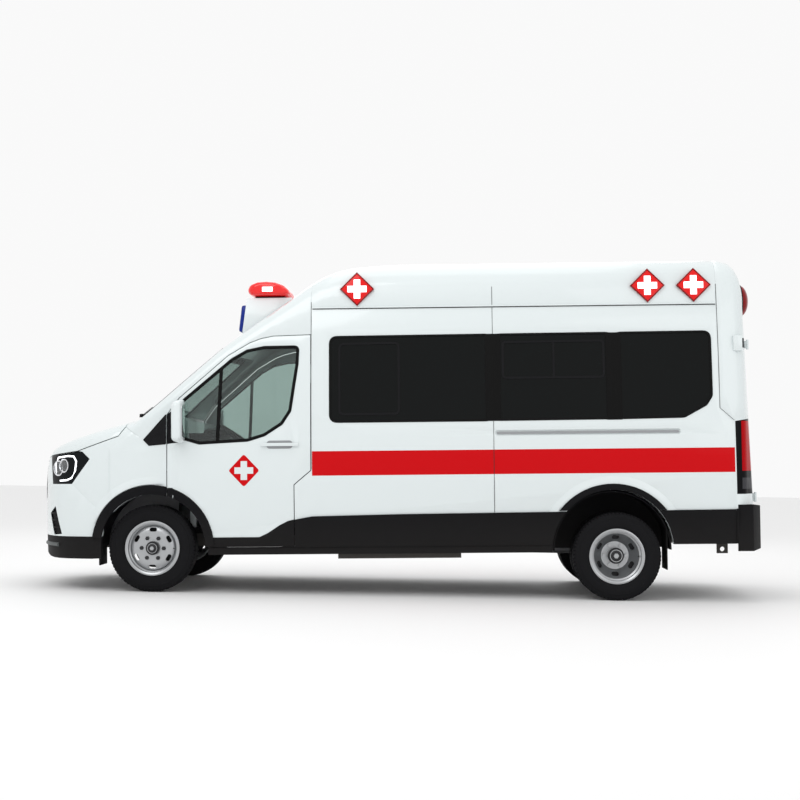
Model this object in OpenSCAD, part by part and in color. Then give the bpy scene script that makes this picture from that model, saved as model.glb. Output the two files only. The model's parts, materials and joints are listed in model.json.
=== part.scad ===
/* [Vehicle] */
// Distance between the axles
wheelbase = 3750; // [3500:10:4100]
// Nose ahead of the front axle
front_overhang = 1023; // [1000:1:1050]
// Tail behind the rear axle
rear_overhang = 1207; // [1190:1:1230]
// Half width of the body at its widest
half_width = 1025; // [1000:1:1060]
// Height of the widest line of the body
widest_z = 900; // [850:10:950]
// Tumblehome per metre above the widest line
upper_tuck = 52; // [40:1:60]
// Tuck under per metre below the widest line
lower_tuck = 130; // [100:1:150]
// Roof crown height
roof_z = 2740; // [2700:1:2780]
// Nose down angle of the body
rake = 1.4; // [0.5:0.1:2]
// Height of the point the body is pitched about
pivot_z = 500; // [400:10:600]

/* [Panels] */
// Body wall thickness
wall = 60; // [50:1:70]
// Nose panel thickness
nose_wall = 45; // [35:1:50]
// Gap around doors and bonnet
gap = 7; // [6:0.5:9]
// Glass thickness
glass_t = 6; // [4:0.5:8]
// Clearance between glass, trim and what holds them
seat_fit = 0.3; // [0.2:0.1:0.5]
// Underside of the floor
floor_z = 500; // [490:1:520]
// Floor thickness
floor_t = 50; // [40:1:60]
// Pitch of the seats behind the cab
row_pitch = 750; // [700:10:800]
// Bottom edge of the sills
sill_z = 345; // [330:1:360]
// Joint between sills and side panels
sill_top = 404; // [395:1:415]
// Thickness of the lower cladding
clad_t = 12; // [8:1:16]
// Height of the roof cap joint
drip_z = 2340; // [2310:1:2360]
// Underside of the light bar
bar_z = 2469; // [2467:1:2475]
// Thickness of the outer layer of a door
skin_t = 25; // [20:1:30]
// Step back of a door's inner layer
rebate = 10; // [8:1:14]
// Thickness of the wing where the door tucks behind it
wing_lip = 10; // [8:1:12]
// Top of the rear doors
rear_door_top = 2236; // [2200:1:2250]
// Half width of the rear doorway
rear_door_hw = 790; // [770:1:800]
// Depth of the rail slot in the sides
slot_depth = 12; // [8:1:16]
// Height of the lower bumper edge
lip_z = 500; // [480:1:520]
// Number of slots in the grille
grille_slots = 5; // [3:1:7]
// Height of a grille slot
grille_slot_h = 36; // [28:1:40]
// Number of slats in a bumper vent
vent_slats = 3; // [2:1:4]

/* [Wheels] */
// Tyre radius
tyre_r = 352; // [340:1:360]
// Tyre half width
tyre_hw = 97.5; // [90:0.5:102]
// Front wheel centre from the middle
front_y = 865; // [850:1:880]
// Outer rear wheel centre from the middle
rear_y = 905; // [890:1:915]
// Spacing of the twin rear wheels
twin = 225; // [215:1:235]
// Kingpin distance from the middle
king_y = 800; // [790:1:810]
// Rim flange radius
flange_r = 222; // [215:1:228]
// Spindle radius
spindle_r = 30; // [25:1:35]
// Rear stub radius
stub_r = 36; // [30:1:40]
// Kingpin radius
king_r = 18; // [15:1:22]
// Towing eye radius
tow_r = 20; // [18:0.5:24]
// Leaf spring distance from the middle
spring_y = 498; // [496:1:500]
// Chassis rail distance from the middle
rail_y = 430; // [420:1:440]
// Running clearance of shafts in their bores
fit = 0.08; // [0.02:0.01:0.1]
// Radius of the wheel nut circle
nut_circle = 90; // [80:1:100]
// Radius of the front wheel opening
front_arch = 425; // [415:1:440]
// Radius of the rear wheel opening
rear_arch = 485; // [470:1:495]

/* [Hidden] */
length = wheelbase + front_overhang + rear_overhang;
fa = -length / 2 + front_overhang;
ra = fa + wheelbase;
rear_rows = floor((ra - fa - 1850) / row_pitch);
fax = fa + 9;
faz = 413;
rax = ra - 36;
raz = 357;
seam_b = fa + 1300;
seam_m = ra - 980;
seam_d = ra + 830;
big = 1400;
n_side = 7;
n_corner = 5;
n_top = 3;

// columns: x, bottom, top, crown drop, corner radius, inset
nose_rows = [
    [fa - 1023, 400, 620, 16, 50, 805],
    [fa - 1012, 372, 790, 20, 60, 665],
    [fa - 990, 350, 980, 24, 60, 565],
    [fa - 960, 336, 1115, 30, 60, 480],
    [fa - 920, 326, 1195, 36, 66, 380],
    [fa - 870, 320, 1246, 44, 76, 290],
    [fa - 800, 318, 1284, 52, 90, 195],
    [fa - 720, 318, 1318, 58, 100, 132],
    [fa - 620, 318, 1353, 62, 108, 80],
    [fa - 500, 318, 1391, 66, 112, 40],
    [fa - 350, 325, 1433, 70, 115, 15],
    [fa - 150, 335, 1484, 74, 115, 0],
    [fa + 200, 345, 1500, 74, 115, 0]
];
cabin_rows = [
    [fa - 330, 345, 1366, 130, 70, 0],
    [fa - 200, 345, 1475, 128, 70, 0],
    [fa + 46, 345, 1678, 124, 70, 0],
    [fa + 236, 345, 1838, 120, 72, 0],
    [fa + 445, 345, 2012, 114, 76, 0],
    [fa + 549, 345, 2098, 110, 80, 0],
    [fa + 700, 345, 2206, 104, 88, 0],
    [fa + 850, 345, 2308, 98, 98, 0],
    [fa + 1000, 345, 2406, 90, 110, 0],
    [fa + 1120, 345, 2484, 82, 122, 0],
    [fa + 1200, 345, 2538, 75, 130, 0],
    [fa + 1290, 345, 2598, 68, 138, 0],
    [fa + 1391, 345, 2652, 60, 146, 0],
    [fa + 1494, 345, 2690, 54, 152, 0],
    [fa + 1620, 345, 2716, 50, 156, 0],
    [fa + 1803, 345, roof_z - 8, 47, 160, 0],
    [fa + 2008, 345, roof_z, 46, 160, 0],
    [ra + 870, 345, roof_z, 46, 160, 0],
    [ra + 955, 345, roof_z - 22, 48, 160, 8],
    [ra + 1005, 345, roof_z - 64, 54, 150, 25],
    [ra + 1036, 345, roof_z - 118, 60, 130, 52],
    [ra + 1054, 345, roof_z - 190, 60, 100, 92],
    [ra + 1124, 345, 480, 12, 30, 165]
];

function side_y(z) = half_width - (z > widest_z ? upper_tuck : lower_tuck) * pow((z - widest_z) / 1000, 2);
function mix(a, b, t) = a + (b - a) * t;
function bez(a, b, c, t) = mix(mix(a, b, t), mix(b, c, t), t);
function half_ring(r) = let(zs = r[2] - r[3], ys = side_y(zs) - r[5], za = zs - r[4], yd = ys - r[4],
    a = [side_y(za) - r[5], za], c = [ys, zs], d = [yd, r[2] - r[3] * pow(yd / ys, 2)])
    concat([for (i = [0:n_side - 1]) let(z = mix(r[1], za, i / n_side)) [side_y(z) - r[5], z]],
        [for (i = [0:n_corner]) bez(a, c, d, i / n_corner)],
        [for (i = [1:n_top]) let(y = yd * (1 - i / n_top)) [y, r[2] - r[3] * pow(y / ys, 2)]]);
function ring(r) = let(h = half_ring(r))
    concat([for (p = h) [r[0], p[0], p[1]]], [for (p = h) [r[0], -p[0], p[1]]]);
function grown(r, g) = [r[0], r[1], r[2] + g, r[3], max(20, r[4] + g), r[5] - g];
function deep(r, g) = [r[0], 150, r[2] - g, r[3], max(20, r[4] - g), r[5] + g];

cab_void_rows = concat(
    [[fa + 240, 150, 1780, 120, 40, wall]],
    [for (r = cabin_rows) if (r[0] > fa + 300 && r[0] < ra + 900) deep(r, wall)],
    [[ra + 955, 150, roof_z - 80, 50, 110, wall + 4], [ra + 996, 150, roof_z - 108, 54, 100, wall + 16],
        [ra + 1066, 150, 480, 12, 30, wall + 110]]);
bay_void_rows = concat(
    [for (i = [1:10]) let(r = nose_rows[i]) deep([r[0] + nose_wall + 5, r[1], r[2], r[3], r[4], r[5]],
        nose_wall)],
    [[fa + 200, 150, 1400, 74, 60, nose_wall]]);

module loft(rows) {
    for (i = [0:len(rows) - 2]) {
        points = concat(ring(rows[i]), ring(rows[i + 1]));
        hull() polyhedron(points = points, faces = [[for (k = [0:len(points) - 1]) k]]);
    }
}
module outer(g = 0) {
    loft([for (r = nose_rows) grown(r, g)]);
    loft([for (r = cabin_rows) grown(r, g)]);
}
module cab_void() {
    loft(cab_void_rows);
}
module bay_void() {
    loft(bay_void_rows);
}
module shell() {
    difference() {
        outer();
        cab_void();
        bay_void();
    }
}
// glass lies just below the skin
module glass_skin() {
    difference() {
        outer(-4);
        outer(-4 - glass_t);
    }
}
module proud_skin(t, bury = 0) {
    difference() {
        outer(t);
        outer(-bury);
    }
}

module on_body() {
    translate([0, 0, pivot_z]) rotate([0, -rake, 0]) translate([0, 0, -pivot_z]) children();
}
module both() {
    children();
    mirror([0, 1, 0]) children();
}
module left_prism() {
    rotate([90, 0, 0]) linear_extrude(height = big) children();
}
module wide_prism() {
    translate([0, big, 0]) rotate([90, 0, 0]) linear_extrude(height = 2 * big) children();
}
module end_prism(x0, x1) {
    translate([x0, 0, 0]) rotate([90, 0, 90]) linear_extrude(height = x1 - x0) children();
}
module soft(r) {
    offset(r = r, $fn = 32) offset(delta = -r) children();
}
module box(x0, x1, y0, y1, z0, z1) {
    translate([x0, y0, z0]) cube([x1 - x0, y1 - y0, z1 - z0]);
}

module front_wheel_hole(r = front_arch) {
    translate([fax, faz]) circle(r = r, $fn = 64);
    translate([fax - r, 0]) square([2 * r, faz]);
}
module rear_wheel_hole(r = rear_arch) {
    translate([rax, raz]) circle(r = r, $fn = 72);
    translate([rax - r, 0]) square([2 * r, raz]);
}
module door_outline(g = 0) {
    offset(delta = -g) difference() {
        polygon([[fa + 132, 1219], [fa + 132, 1480], [fa + 228, 1612], [fa + 627, 1957], [fa + 800, 2058],
            [fa + 890, 2092], [fa + 990, 2112], [fa + 1297, 2120], [fa + 1297, 1020], [fa + 1160, 905],
            [fa + 1160, sill_top + gap / 2], [fa + 132, sill_top + gap / 2]]);
        front_wheel_hole(front_arch);
    }
}
module door_window() {
    soft(28) polygon([[fa + 255, 1291], [fa + 240, 1570], [fa + 660, 1922], [fa + 780, 1990], [fa + 920, 2018],
        [fa + 1192, 2020], [fa + 1185, 1880], [fa + 1127, 1501], [fa + 1060, 1400], [fa + 920, 1310],
        [fa + 786, 1269], [fa + 395, 1249]]);
}
module side_windows_outline() {
    soft(50) polygon([[fa + 1457, 1412], [fa + 1457, 2095], [seam_m - 8, 2100], [seam_m - 8, 1412]]);
    soft(50) polygon([[seam_m + 8, 1414], [seam_m + 8, 2100], [ra - 18, 2103], [ra - 18, 1418]]);
    soft(50) polygon([[ra - 2, 1418], [ra - 2, 2103], [ra + 765, 2106], [ra + 765, 1590], [ra + 720, 1520],
        [ra + 544, 1425]]);
}
module lamp_outline() {
    polygon([[fa - 885, 1160], [fa - 569, 1188], [fa - 504, 1128], [fa - 663, 926], [fa - 865, 925]]);
}
module hood_outline(g = 0) {
    offset(delta = -g) polygon([[fa - 1200, 1128], [fa - 950, 1130], [fa - 880, 1164], [fa - 614, 1196],
        [fa - 268, 1314], [fa - 215, 1388], [fa - 215, 1800], [fa - 1200, 1800]]);
}
module grille_outline() {
    soft(40) polygon([[-560, 1112], [560, 1112], [500, 800], [-500, 800]]);
}
module screen_outline() {
    soft(60) polygon([[-850, 1490], [850, 1490], [735, 2028], [-735, 2028]]);
}
module rear_opening() {
    soft(40) polygon([[-rear_door_hw, 745], [rear_door_hw, 745], [rear_door_hw, 1950],
        [rear_door_hw - 45, rear_door_top],
        [45 - rear_door_hw, rear_door_top], [-rear_door_hw, 1950]]);
}

// body shell nodes
module floor_pan() {
    color([0.75, 0.76, 0.78]) on_body() {
        difference() {
            intersection() {
                cab_void();
                box(fa + 240, ra + 996, -big, big, floor_z, floor_z + floor_t);
            }
            for (s = [-1, 1]) {
                box(fa, fa + 470, s > 0 ? 560 : -big, s > 0 ? big : -560, 0, 1200);
                box(rax - 475, rax + 475, s > 0 ? 540 : -big, s > 0 ? big : -540, 0, 1200);
            }
        }
        difference() {
            intersection() {
                shell();
                box(fa, ra + 1000, -big, big, sill_z, sill_top);
            }
            wide_prism() {
                front_wheel_hole(front_arch + 25);
                rear_wheel_hole(rear_arch);
            }
            box(rax, big * 3, -big, big, 0, 2000);
        }
    }
}
module cab_shell() {
    color([0.95, 0.95, 0.95]) on_body() {
        difference() {
            intersection() {
                shell();
                wide_prism() polygon([[fa - 215 + gap, 1385], [fa - 62, 1278], [fa - 14, 1225], [fa + 138, 1225],
                    [seam_b, 1225], [seam_b, 3000], [fa - 215 + gap, 3000]]);
            }
            door_tuck();
            wide_prism() door_outline(-gap / 2);
            end_prism(fa - 500, fa + 640) screen_outline();
            box(fa - 900, fa + 200, -700, 700, 0, 1400);
        }
        intersection() {
            cab_void();
            union() {
                box(fa + 240, fa + 290, -900, 900, 885, 1330);
                box(fa + 240, fa + 290, -545, 545, floor_z + floor_t, 890);
            }
        }
        intersection() {
            outer(-nose_wall);
            box(fa + 200, fa + 240, -900, 900, 860, 1440);
        }
    }
}
// room behind the lip where the front edge of an open door swings
module door_tuck() {
    intersection() {
        outer(-wing_lip);
        both() box(fa + 60, fa + 260, -big, -900, 300, 1660);
    }
}
module side_left() {
    color([0.95, 0.95, 0.95]) on_body() side_panel(fa + 1156);
}
module side_right() {
    color([0.95, 0.95, 0.95]) on_body() mirror([0, 1, 0]) side_panel(seam_m);
}
module side_panel(x0) {
    difference() {
        intersection() {
            shell();
            left_prism() polygon([[x0, sill_top], [x0, drip_z], [seam_d, drip_z], [seam_d, 1488],
                [seam_d + 112, 1388],
                [seam_d + 112, sill_top]]);
        }
        left_prism() {
            door_outline(-gap / 2);
            rear_wheel_hole(rear_arch);
            side_windows_outline();
            polygon([[fa, 900], [fa, 3000], [seam_b, 3000], [seam_b, 1020], [fa + 1160, 905]]);
        }
        intersection() {
            proud_skin(2, slot_depth);
            left_prism() soft(20) translate([seam_m + 12, 1284]) square([1480, 44]);
        }
    }
}
module sliding_door() {
    color([0.95, 0.95, 0.95]) on_body() mirror([0, 1, 0]) {
        difference() {
            intersection() {
                shell();
                left_prism() polygon([[fa + 1156, sill_top], [fa + 1156, 905], [seam_b, 1020], [seam_b, drip_z],
                    [seam_m, drip_z], [seam_m, sill_top]]);
            }
            left_prism() {
                door_outline(-gap / 2);
                side_windows_outline();
            }
        }
    }
}
module roof() {
    color([0.95, 0.95, 0.95]) on_body() intersection() {
        shell();
        box(seam_b, seam_d, -big, big, drip_z, 3000);
    }
}
module rear_frame() {
    color([0.95, 0.95, 0.95]) on_body() {
        difference() {
            intersection() {
                shell();
                wide_prism() polygon([[seam_d, 1488], [seam_d, 3000], [big * 3, 3000], [big * 3, sill_top],
                    [seam_d + 112, sill_top], [seam_d + 112, 1388]]);
            }
            end_prism(ra + 980, ra + 1300) offset(delta = gap) rear_opening();
            both() tail_lamp_block();
        }
    }
}
module tail_lamp_block() {
    left_prism() polygon([[ra + 949, 1383], [ra + 1300, 1440], [ra + 1300, 800], [ra + 954, 800]]);
}
module tail_lamps() {
    color([0.8, 0.05, 0.05]) on_body() both() intersection() {
        shell();
        tail_lamp_block();
        box(ra + 900, ra + 1200, -big, -rear_door_hw - 10 - gap, 700, 1500);
    }
}
module wings() {
    color([0.95, 0.95, 0.95]) on_body() both() difference() {
        intersection() {
            shell();
            left_prism() polygon([[fa - 504, 1128], [fa - 569, 1188], [fa - 614, 1196], [fa - 268, 1314],
                [fa - 215, 1388], [fa - 62, 1278], [fa - 14, 1225], [fa + 200, 1225], [fa + 200, 700],
                [fa - 400, 700], [fa - 470, 750], [fa - 663, 926]]);
        }
        left_prism() {
            hood_outline(-gap);
            front_wheel_hole();
            door_outline(-gap / 2);
            polygon([[fa + 132 - gap / 2, 0], [fa + 132 - gap / 2, 1400], [fa + 400, 1400], [fa + 400, 0]]);
        }
        door_tuck();
        box(fa - 1200, fa + 400, -620, big, 0, 2000);
    }
}
module front_bumper() {
    color([0.93, 0.93, 0.93]) on_body() difference() {
        intersection() {
            shell();
            wide_prism() polygon([[fa - 1200, 1128 - gap], [fa - 950, 1130 - gap], [fa - 885, 1158 - gap],
                [fa - 865, 925], [fa - 663, 926], [fa - 470, 750], [fa - 400, 700], [fa - 400, lip_z],
                [fa - 1200, lip_z]]);
        }
        wide_prism() {
            front_wheel_hole();
            hood_outline(-gap);
        }
        end_prism(fa - 1200, fa - 700) grille_outline();
        both() {
            lamp_block();
            vent_block();
        }
    }
}
module lamp_block() {
    intersection() {
        left_prism() lamp_outline();
        box(fa - 1000, fa, -big, -640, 0, 2000);
    }
}
module headlamps() {
    color([0.9, 0.93, 0.95]) on_body() both() difference() {
        intersection() {
            shell();
            lamp_block();
        }
        left_prism() hood_outline(-gap);
    }
}
module grille_slot_rows() {
    pitch = (1112 - 800 - 40) / grille_slots;
    for (i = [0:grille_slots - 1]) let(z = 800 + 20 + (i + 0.5) * pitch)
        translate([0, z]) square([2 * (470 + (z - 800) * 0.19) - 70, min(grille_slot_h, pitch - 14)],
            center = true);
}
module grille() {
    color([0.12, 0.12, 0.13]) on_body() difference() {
        intersection() {
            shell();
            end_prism(fa - 1200, fa - 700) grille_outline();
        }
        end_prism(fa - 1300, fa - 600) grille_slot_rows();
    }
}
module vent_outline() {
    polygon([[fa - 834, 745], [fa - 902, 684], [fa - 855, lip_z + 8], [fa - 767, lip_z + 17]]);
}
module vent_block(g = 0) {
    intersection() {
        left_prism() offset(delta = g) vent_outline();
        box(fa - 1100, fa, -big, -600, 0, 2000);
    }
}
module vents() {
    color([0.08, 0.08, 0.08]) on_body() both() intersection() {
        vent_block();
        shell();
        union() {
            outer(-28);
            for (i = [1:vent_slats]) let(z = mix(lip_z + 10, 745, i / (vent_slats + 1)))
                box(fa - 1000, fa - 700, -big, -600, z - 9, z + 9);
        }
    }
}
module lower_bumper() {
    color([0.08, 0.08, 0.08]) on_body() difference() {
        intersection() {
            shell();
            box(fa - 1200, fa - 400, -big, big, 250, lip_z);
        }
        wide_prism() front_wheel_hole();
    }
}
module rear_bumper() {
    color([0.1, 0.1, 0.1]) on_body() {
        difference() {
            intersection() {
                hull() {
                    box(ra + 1120, ra + 1207, -560, 560, 380, 690);
                    box(ra + 1080, ra + 1160, -880, 880, 360, 705);
                    box(ra + 960, ra + 1080, -1010, 1010, 345, 715);
                }
                box(0, big * 3, -big, big, 0, 720);
            }
            outer(0);
        }
    }
}
module cladding() {
    color([0.08, 0.08, 0.08]) on_body() both() {
        difference() {
            intersection() {
                proud_skin(clad_t);
                left_prism() polygon([[fa + 1160 + gap / 2, sill_top], [fa + 1160 + gap / 2, 625],
                    [fa + 1304, 650],
                    [fa + 2000, 662], [ra + 950, 680], [ra + 950, sill_top]]);
            }
            left_prism() rear_wheel_hole(rear_arch);
        }
        difference() {
            intersection() {
                proud_skin(clad_t + 10);
                left_prism() difference() {
                    rear_wheel_hole(rear_arch + 50);
                    rear_wheel_hole(rear_arch);
                    translate([0, -1]) square([big * 3, 680]);
                }
            }
        }
        intersection() {
            proud_skin(clad_t + 10);
            left_prism() difference() {
                front_wheel_hole(front_arch + 75);
                front_wheel_hole(front_arch);
                translate([-big * 3, -1]) square([big * 4, 490]);
                polygon([[fa + 132 - gap / 2, 0], [fa + 132 - gap / 2, 1400], [fa + 900, 1400], [fa + 900, 0]]);
            }
        }
    }
}
module windscreen() {
    color([0.4, 0.5, 0.5, 0.5]) on_body() intersection() {
        glass_skin();
        end_prism(fa - 215, fa + 640) screen_outline();
    }
}
module side_windows() {
    color([0.1, 0.12, 0.13, 0.7]) on_body() both() intersection() {
        glass_skin();
        left_prism() offset(delta = -seat_fit) side_windows_outline();
    }
}

// doors and bonnet
module hood() {
    color([0.95, 0.95, 0.95]) on_body() intersection() {
        shell();
        wide_prism() hood_outline(0);
    }
}
module door_room() {
    cab_void();
    loft([[fa + 100, 150, 1660, 120, 40, wall], cab_void_rows[0]]);
}
module front_door() {
    difference() {
        intersection() {
            outer();
            union() {
                left_prism() door_outline(gap / 2 + rebate);
                difference() {
                    left_prism() door_outline(gap / 2);
                    outer(-skin_t);
                }
            }
        }
        door_room();
        left_prism() door_window();
    }
    intersection() {
        proud_skin(clad_t / 2, 6);
        left_prism() intersection() {
            door_outline(gap / 2);
            union() {
                polygon([[fa, 300], [fa, 495], [fa + 884, 495], [fa + 1126, 614], [fa + 1170, 620],
                    [fa + 1170, 300]]);
                front_wheel_hole(front_arch + 75);
            }
        }
    }
    door_handle();
}
// columns: from the front axle, from the middle, height, radius
mirror_corners = [[258, 1092, 1292, 44], [258, 1092, 1556, 44], [240, 1190, 1300, 42], [240, 1186, 1540, 42]];
module door_mirror() {
    hull() {
        translate([fa + 232, -1008, 1302]) cube([40, 24, 60], center = true);
        translate([fa + 250, -1105, 1322]) cube([50, 20, 50], center = true);
    }
    difference() {
        hull() for (c = mirror_corners) translate([fa + c[0], -c[1], c[2]]) sphere(r = c[3], $fn = 20);
        box(fa + 284, fa + 400, -1400, -900, 1100, 1800);
    }
}
module mirror_left() {
    color([0.95, 0.95, 0.95]) on_body() difference() {
        door_mirror();
        outer(0);
    }
}
module mirror_right() {
    color([0.95, 0.95, 0.95]) on_body() mirror([0, 1, 0]) difference() {
        door_mirror();
        outer(0);
    }
}
module door_handle() {
    difference() {
        translate([fa + 893, -1040, 1217]) cube([304, 40, 26]);
        translate([fa + 925, -1026, 1200]) cube([240, 40, 60]);
    }
}
module door_left() {
    color([0.95, 0.95, 0.95]) on_body() front_door();
}
module door_right() {
    color([0.95, 0.95, 0.95]) on_body() mirror([0, 1, 0]) front_door();
}
module door_pane() {
    intersection() {
        glass_skin();
        left_prism() offset(delta = -seat_fit) door_window();
    }
}
module door_glass_left() {
    color([0.3, 0.4, 0.4, 0.5]) on_body() door_pane();
}
module door_glass_right() {
    color([0.3, 0.4, 0.4, 0.5]) on_body() mirror([0, 1, 0]) door_pane();
}
module rear_window() {
    soft(40) polygon([[90 - rear_door_hw, 1430], [-110, 1430], [-110, 2080], [120 - rear_door_hw, 2080]]);
}
module rear_leaf(g) {
    offset(delta = -g) intersection() {
        rear_opening();
        translate([-big, 0]) square([big - gap / 2, 3000]);
    }
}
module rear_door() {
    difference() {
        intersection() {
            shell();
            union() {
                end_prism(ra + 980, ra + 1300) rear_leaf(rebate);
                difference() {
                    end_prism(ra + 980, ra + 1300) rear_leaf(0);
                    translate([-skin_t, 0, 0]) outer();
                }
            }
        }
        end_prism(ra + 980, ra + 1300) rear_window();
    }
}
module rear_door_left() {
    color([0.95, 0.95, 0.95]) on_body() rear_door();
}
module rear_door_right() {
    color([0.95, 0.95, 0.95]) on_body() mirror([0, 1, 0]) rear_door();
}
module rear_pane() {
    intersection() {
        difference() {
            translate([-4, 0, 0]) outer();
            translate([-4 - glass_t, 0, 0]) outer();
        }
        end_prism(ra + 1020, ra + 1300) offset(delta = -seat_fit) rear_window();
    }
}
module rear_glass_left() {
    color([0.1, 0.12, 0.13, 0.7]) on_body() rear_pane();
}
module rear_glass_right() {
    color([0.1, 0.12, 0.13, 0.7]) on_body() mirror([0, 1, 0]) rear_pane();
}

// lamps on the roof
module light_pod() {
    color([0.93, 0.93, 0.93]) on_body() difference() {
        hull() {
            box(fa + 690, fa + 1100, -560, 560, 2150, 2200);
            box(fa + 725, fa + 1100, -540, 540, bar_z - 29, bar_z);
        }
        outer(0);
    }
}
module light_bar() {
    color([0.85, 0.05, 0.05]) on_body() hull() {
        box(fa + 720, fa + 1088, -600, 600, bar_z, bar_z + 30);
        for (x = [fa + 790, fa + 1018]) translate([x, 0, bar_z + 133]) rotate([90, 0, 0])
            cylinder(r = 70, h = 1130, center = true, $fn = 40);
    }
}
module diamond() {
    rotate([0, 45, 0]) cube([190, 28, 190], center = true);
}
module cross_lamps() {
    color([0.85, 0.05, 0.05]) on_body() {
        both() for (x = [fa + 1674, ra + 279, ra + 650]) difference() {
            translate([x, -side_y(2490) - 8, 2490]) rotate([-4.7, 0, 0]) diamond();
            outer(0);
        }
        both() difference() {
            translate([ra + 1058, -550, 2390]) rotate([0, -2, 0]) rotate([0, 0, 90]) diamond();
            outer(0);
        }
    }
}

// cab and patient compartment
module partition() {
    color([0.8, 0.8, 0.8]) on_body() difference() {
        intersection() {
            cab_void();
            box(seam_b + 40, seam_b + 70, -big, big, floor_z + floor_t, 3000);
        }
        box(seam_b, seam_b + 100, -400, 400, 1500, 2000);
    }
}
module at_wheel() {
    translate([fa + 640, -430, 1290]) rotate([0, 35, 0]) children();
}
module dashboard() {
    color([0.2, 0.2, 0.22]) on_body() {
        difference() {
            hull() {
                box(fa + 290 + seat_fit, fa + 420, -880, 880, 900, 1330);
                box(fa + 290 + seat_fit, fa + 560, -860, 860, 1000, 1270);
            }
            at_wheel() translate([0, 0, -320]) cylinder(r = 32, h = 700, $fn = 40);
        }
    }
}
module profile(w) {
    rotate([90, 0, 0]) linear_extrude(height = w, center = true) children();
}
module seat(w) {
    profile(w) polygon([[-240, 250], [-240, 400], [185, 400], [345, 1030], [475, 1000], [320, 380], [285, 250]]);
    profile(260) polygon([[350, 970], [372, 1190], [455, 1172], [425, 970]]);
    profile(w - 100) polygon([[-200, 0], [-200, 280], [200, 280], [200, 0]]);
}
module seats() {
    color([0.25, 0.27, 0.3]) on_body() translate([0, 0, floor_z + floor_t]) {
        translate([fa + 820, -430, 0]) seat(480);
        translate([fa + 820, 400, 0]) seat(700);
        for (i = [0:rear_rows - 1]) translate([fa + 1900 + i * row_pitch, 480, 0]) seat(480);
        box(fa + 1900, ra - 650, -900, -480, 0, 420);
    }
}

// running gear
module chassis() {
    color([0.1, 0.1, 0.11]) on_body() difference() {
        union() {
            for (s = [-1, 1]) box(fa - 850, ra + 985, s * rail_y - 28, s * rail_y + 28, 390, floor_z);
            for (x = [fa - 700, fa + 900, fa + 2000, ra - 700, ra + 700])
                box(x - 40, x + 40, 28 - rail_y, rail_y - 28, 455, floor_z);
            box(fa - 860, fa - 755, -rail_y - 45, 45 - rail_y, 330, 358);
            box(fa - 785, fa - 755, -rail_y - 14, 14 - rail_y, 350, 391);
            box(ra + 885, ra + 975, -rail_y - 14, 14 - rail_y, 295, 391);
        }
        translate([fa - 820, -rail_y, 300]) cylinder(r = tow_r, h = 80);
        translate([ra + 930, -rail_y, 330]) rotate([90, 0, 0]) cylinder(r = tow_r, h = 100, center = true);
    }
}
module front_axle() {
    color([0.14, 0.14, 0.15]) difference() {
        union() {
            box(fa - 110, fa + 110, -500, 500, 190, 290);
            for (s = [-1, 1]) {
                box(fa - 90, fa + 90, s * rail_y - 28, s * rail_y + 28, 280, 420);
                box(fa - 40, fa + 40, s > 0 ? 480 : -king_y, s > 0 ? king_y : -480, 196, 232);
                translate([fa, s * king_y, 196]) cylinder(r = 32, h = 36);
                box(fa - 30, fa + 30, s > 0 ? 440 : -king_y, s > 0 ? king_y : -440, 470, 502);
                translate([fa, s * king_y, 470]) cylinder(r = 32, h = 32);
                box(fa - 60, fa + 60, s * 490 - 40, s * 490 + 40, 280, 540);
            }
        }
        for (s = [-1, 1]) translate([fa, s * king_y, 100]) cylinder(r = king_r + fit, h = 500);
        on_body() for (s = [-1, 1]) box(fa - 850, fa + 850, s * rail_y - 28.2, s * rail_y + 28.2, 389.8,
            floor_z + 100);
    }
}
module knuckle(s) {
    translate([fa, s * king_y, 0]) {
        translate([0, 0, 196]) cylinder(r = king_r, h = 306);
        translate([0, 0, 234]) cylinder(r = 40, h = 234);
        translate([0, 0, tyre_r]) rotate([s > 0 ? -90 : 90, 0, 0]) cylinder(r = spindle_r,
            h = front_y - king_y + 56);
        translate([0, 0, tyre_r]) rotate([s > 0 ? -90 : 90, 0, 0]) cylinder(r = 60, h = 44);
    }
}
module knuckle_left() {
    color([0.3, 0.3, 0.32]) knuckle(-1);
}
module knuckle_right() {
    color([0.3, 0.3, 0.32]) knuckle(1);
}
module rear_axle() {
    color([0.14, 0.14, 0.15]) {
        translate([ra, 0, tyre_r]) rotate([90, 0, 0]) {
            cylinder(r = 48, h = 1160, center = true);
            cylinder(r = stub_r, h = 2 * rear_y - 110, center = true);
            cylinder(r = 140, h = 130, center = true);
            cylinder(r = 95, h = 260, center = true);
        }
        translate([ra, 0, tyre_r]) rotate([0, -90, 0]) cylinder(r = 55, h = 240);
        for (s = [-1, 1]) {
            box(ra - 60, ra + 60, s * spring_y - 38, s * spring_y + 38, 290, 425);
            translate([ra, s * spring_y, 0]) rotate([90, 0, 0]) linear_extrude(height = 70, center = true)
                polygon(concat([for (x = [-700:70:700]) [x, 410 + 70 * pow(x / 700, 2)]],
                    [for (x = [700:-70:-700]) [x, 440 + 70 * pow(x / 700, 2)]]));
        }
    }
}
module driveline() {
    color([0.3, 0.3, 0.31]) {
        translate([fa + 960, 0, tyre_r]) rotate([0, 90, 0]) cylinder(r = 38, h = wheelbase - 960 - 240);
        on_body() {
            translate([fa + 500, 250, 422]) rotate([0, 90, 0]) cylinder(r = 28, h = 2000);
            translate([fa + 2500, 250, 374]) rotate([0, 90, 0]) cylinder(r = 78, h = 480);
            for (x = [fa + 900, fa + 2000]) box(x - 15, x + 15, 235, 265, 440, 455);
        }
    }
}
module fuel_tank() {
    color([0.12, 0.12, 0.13]) on_body() box(fa + 1500, fa + 2500, -860, -480, 300, floor_z);
}
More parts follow.
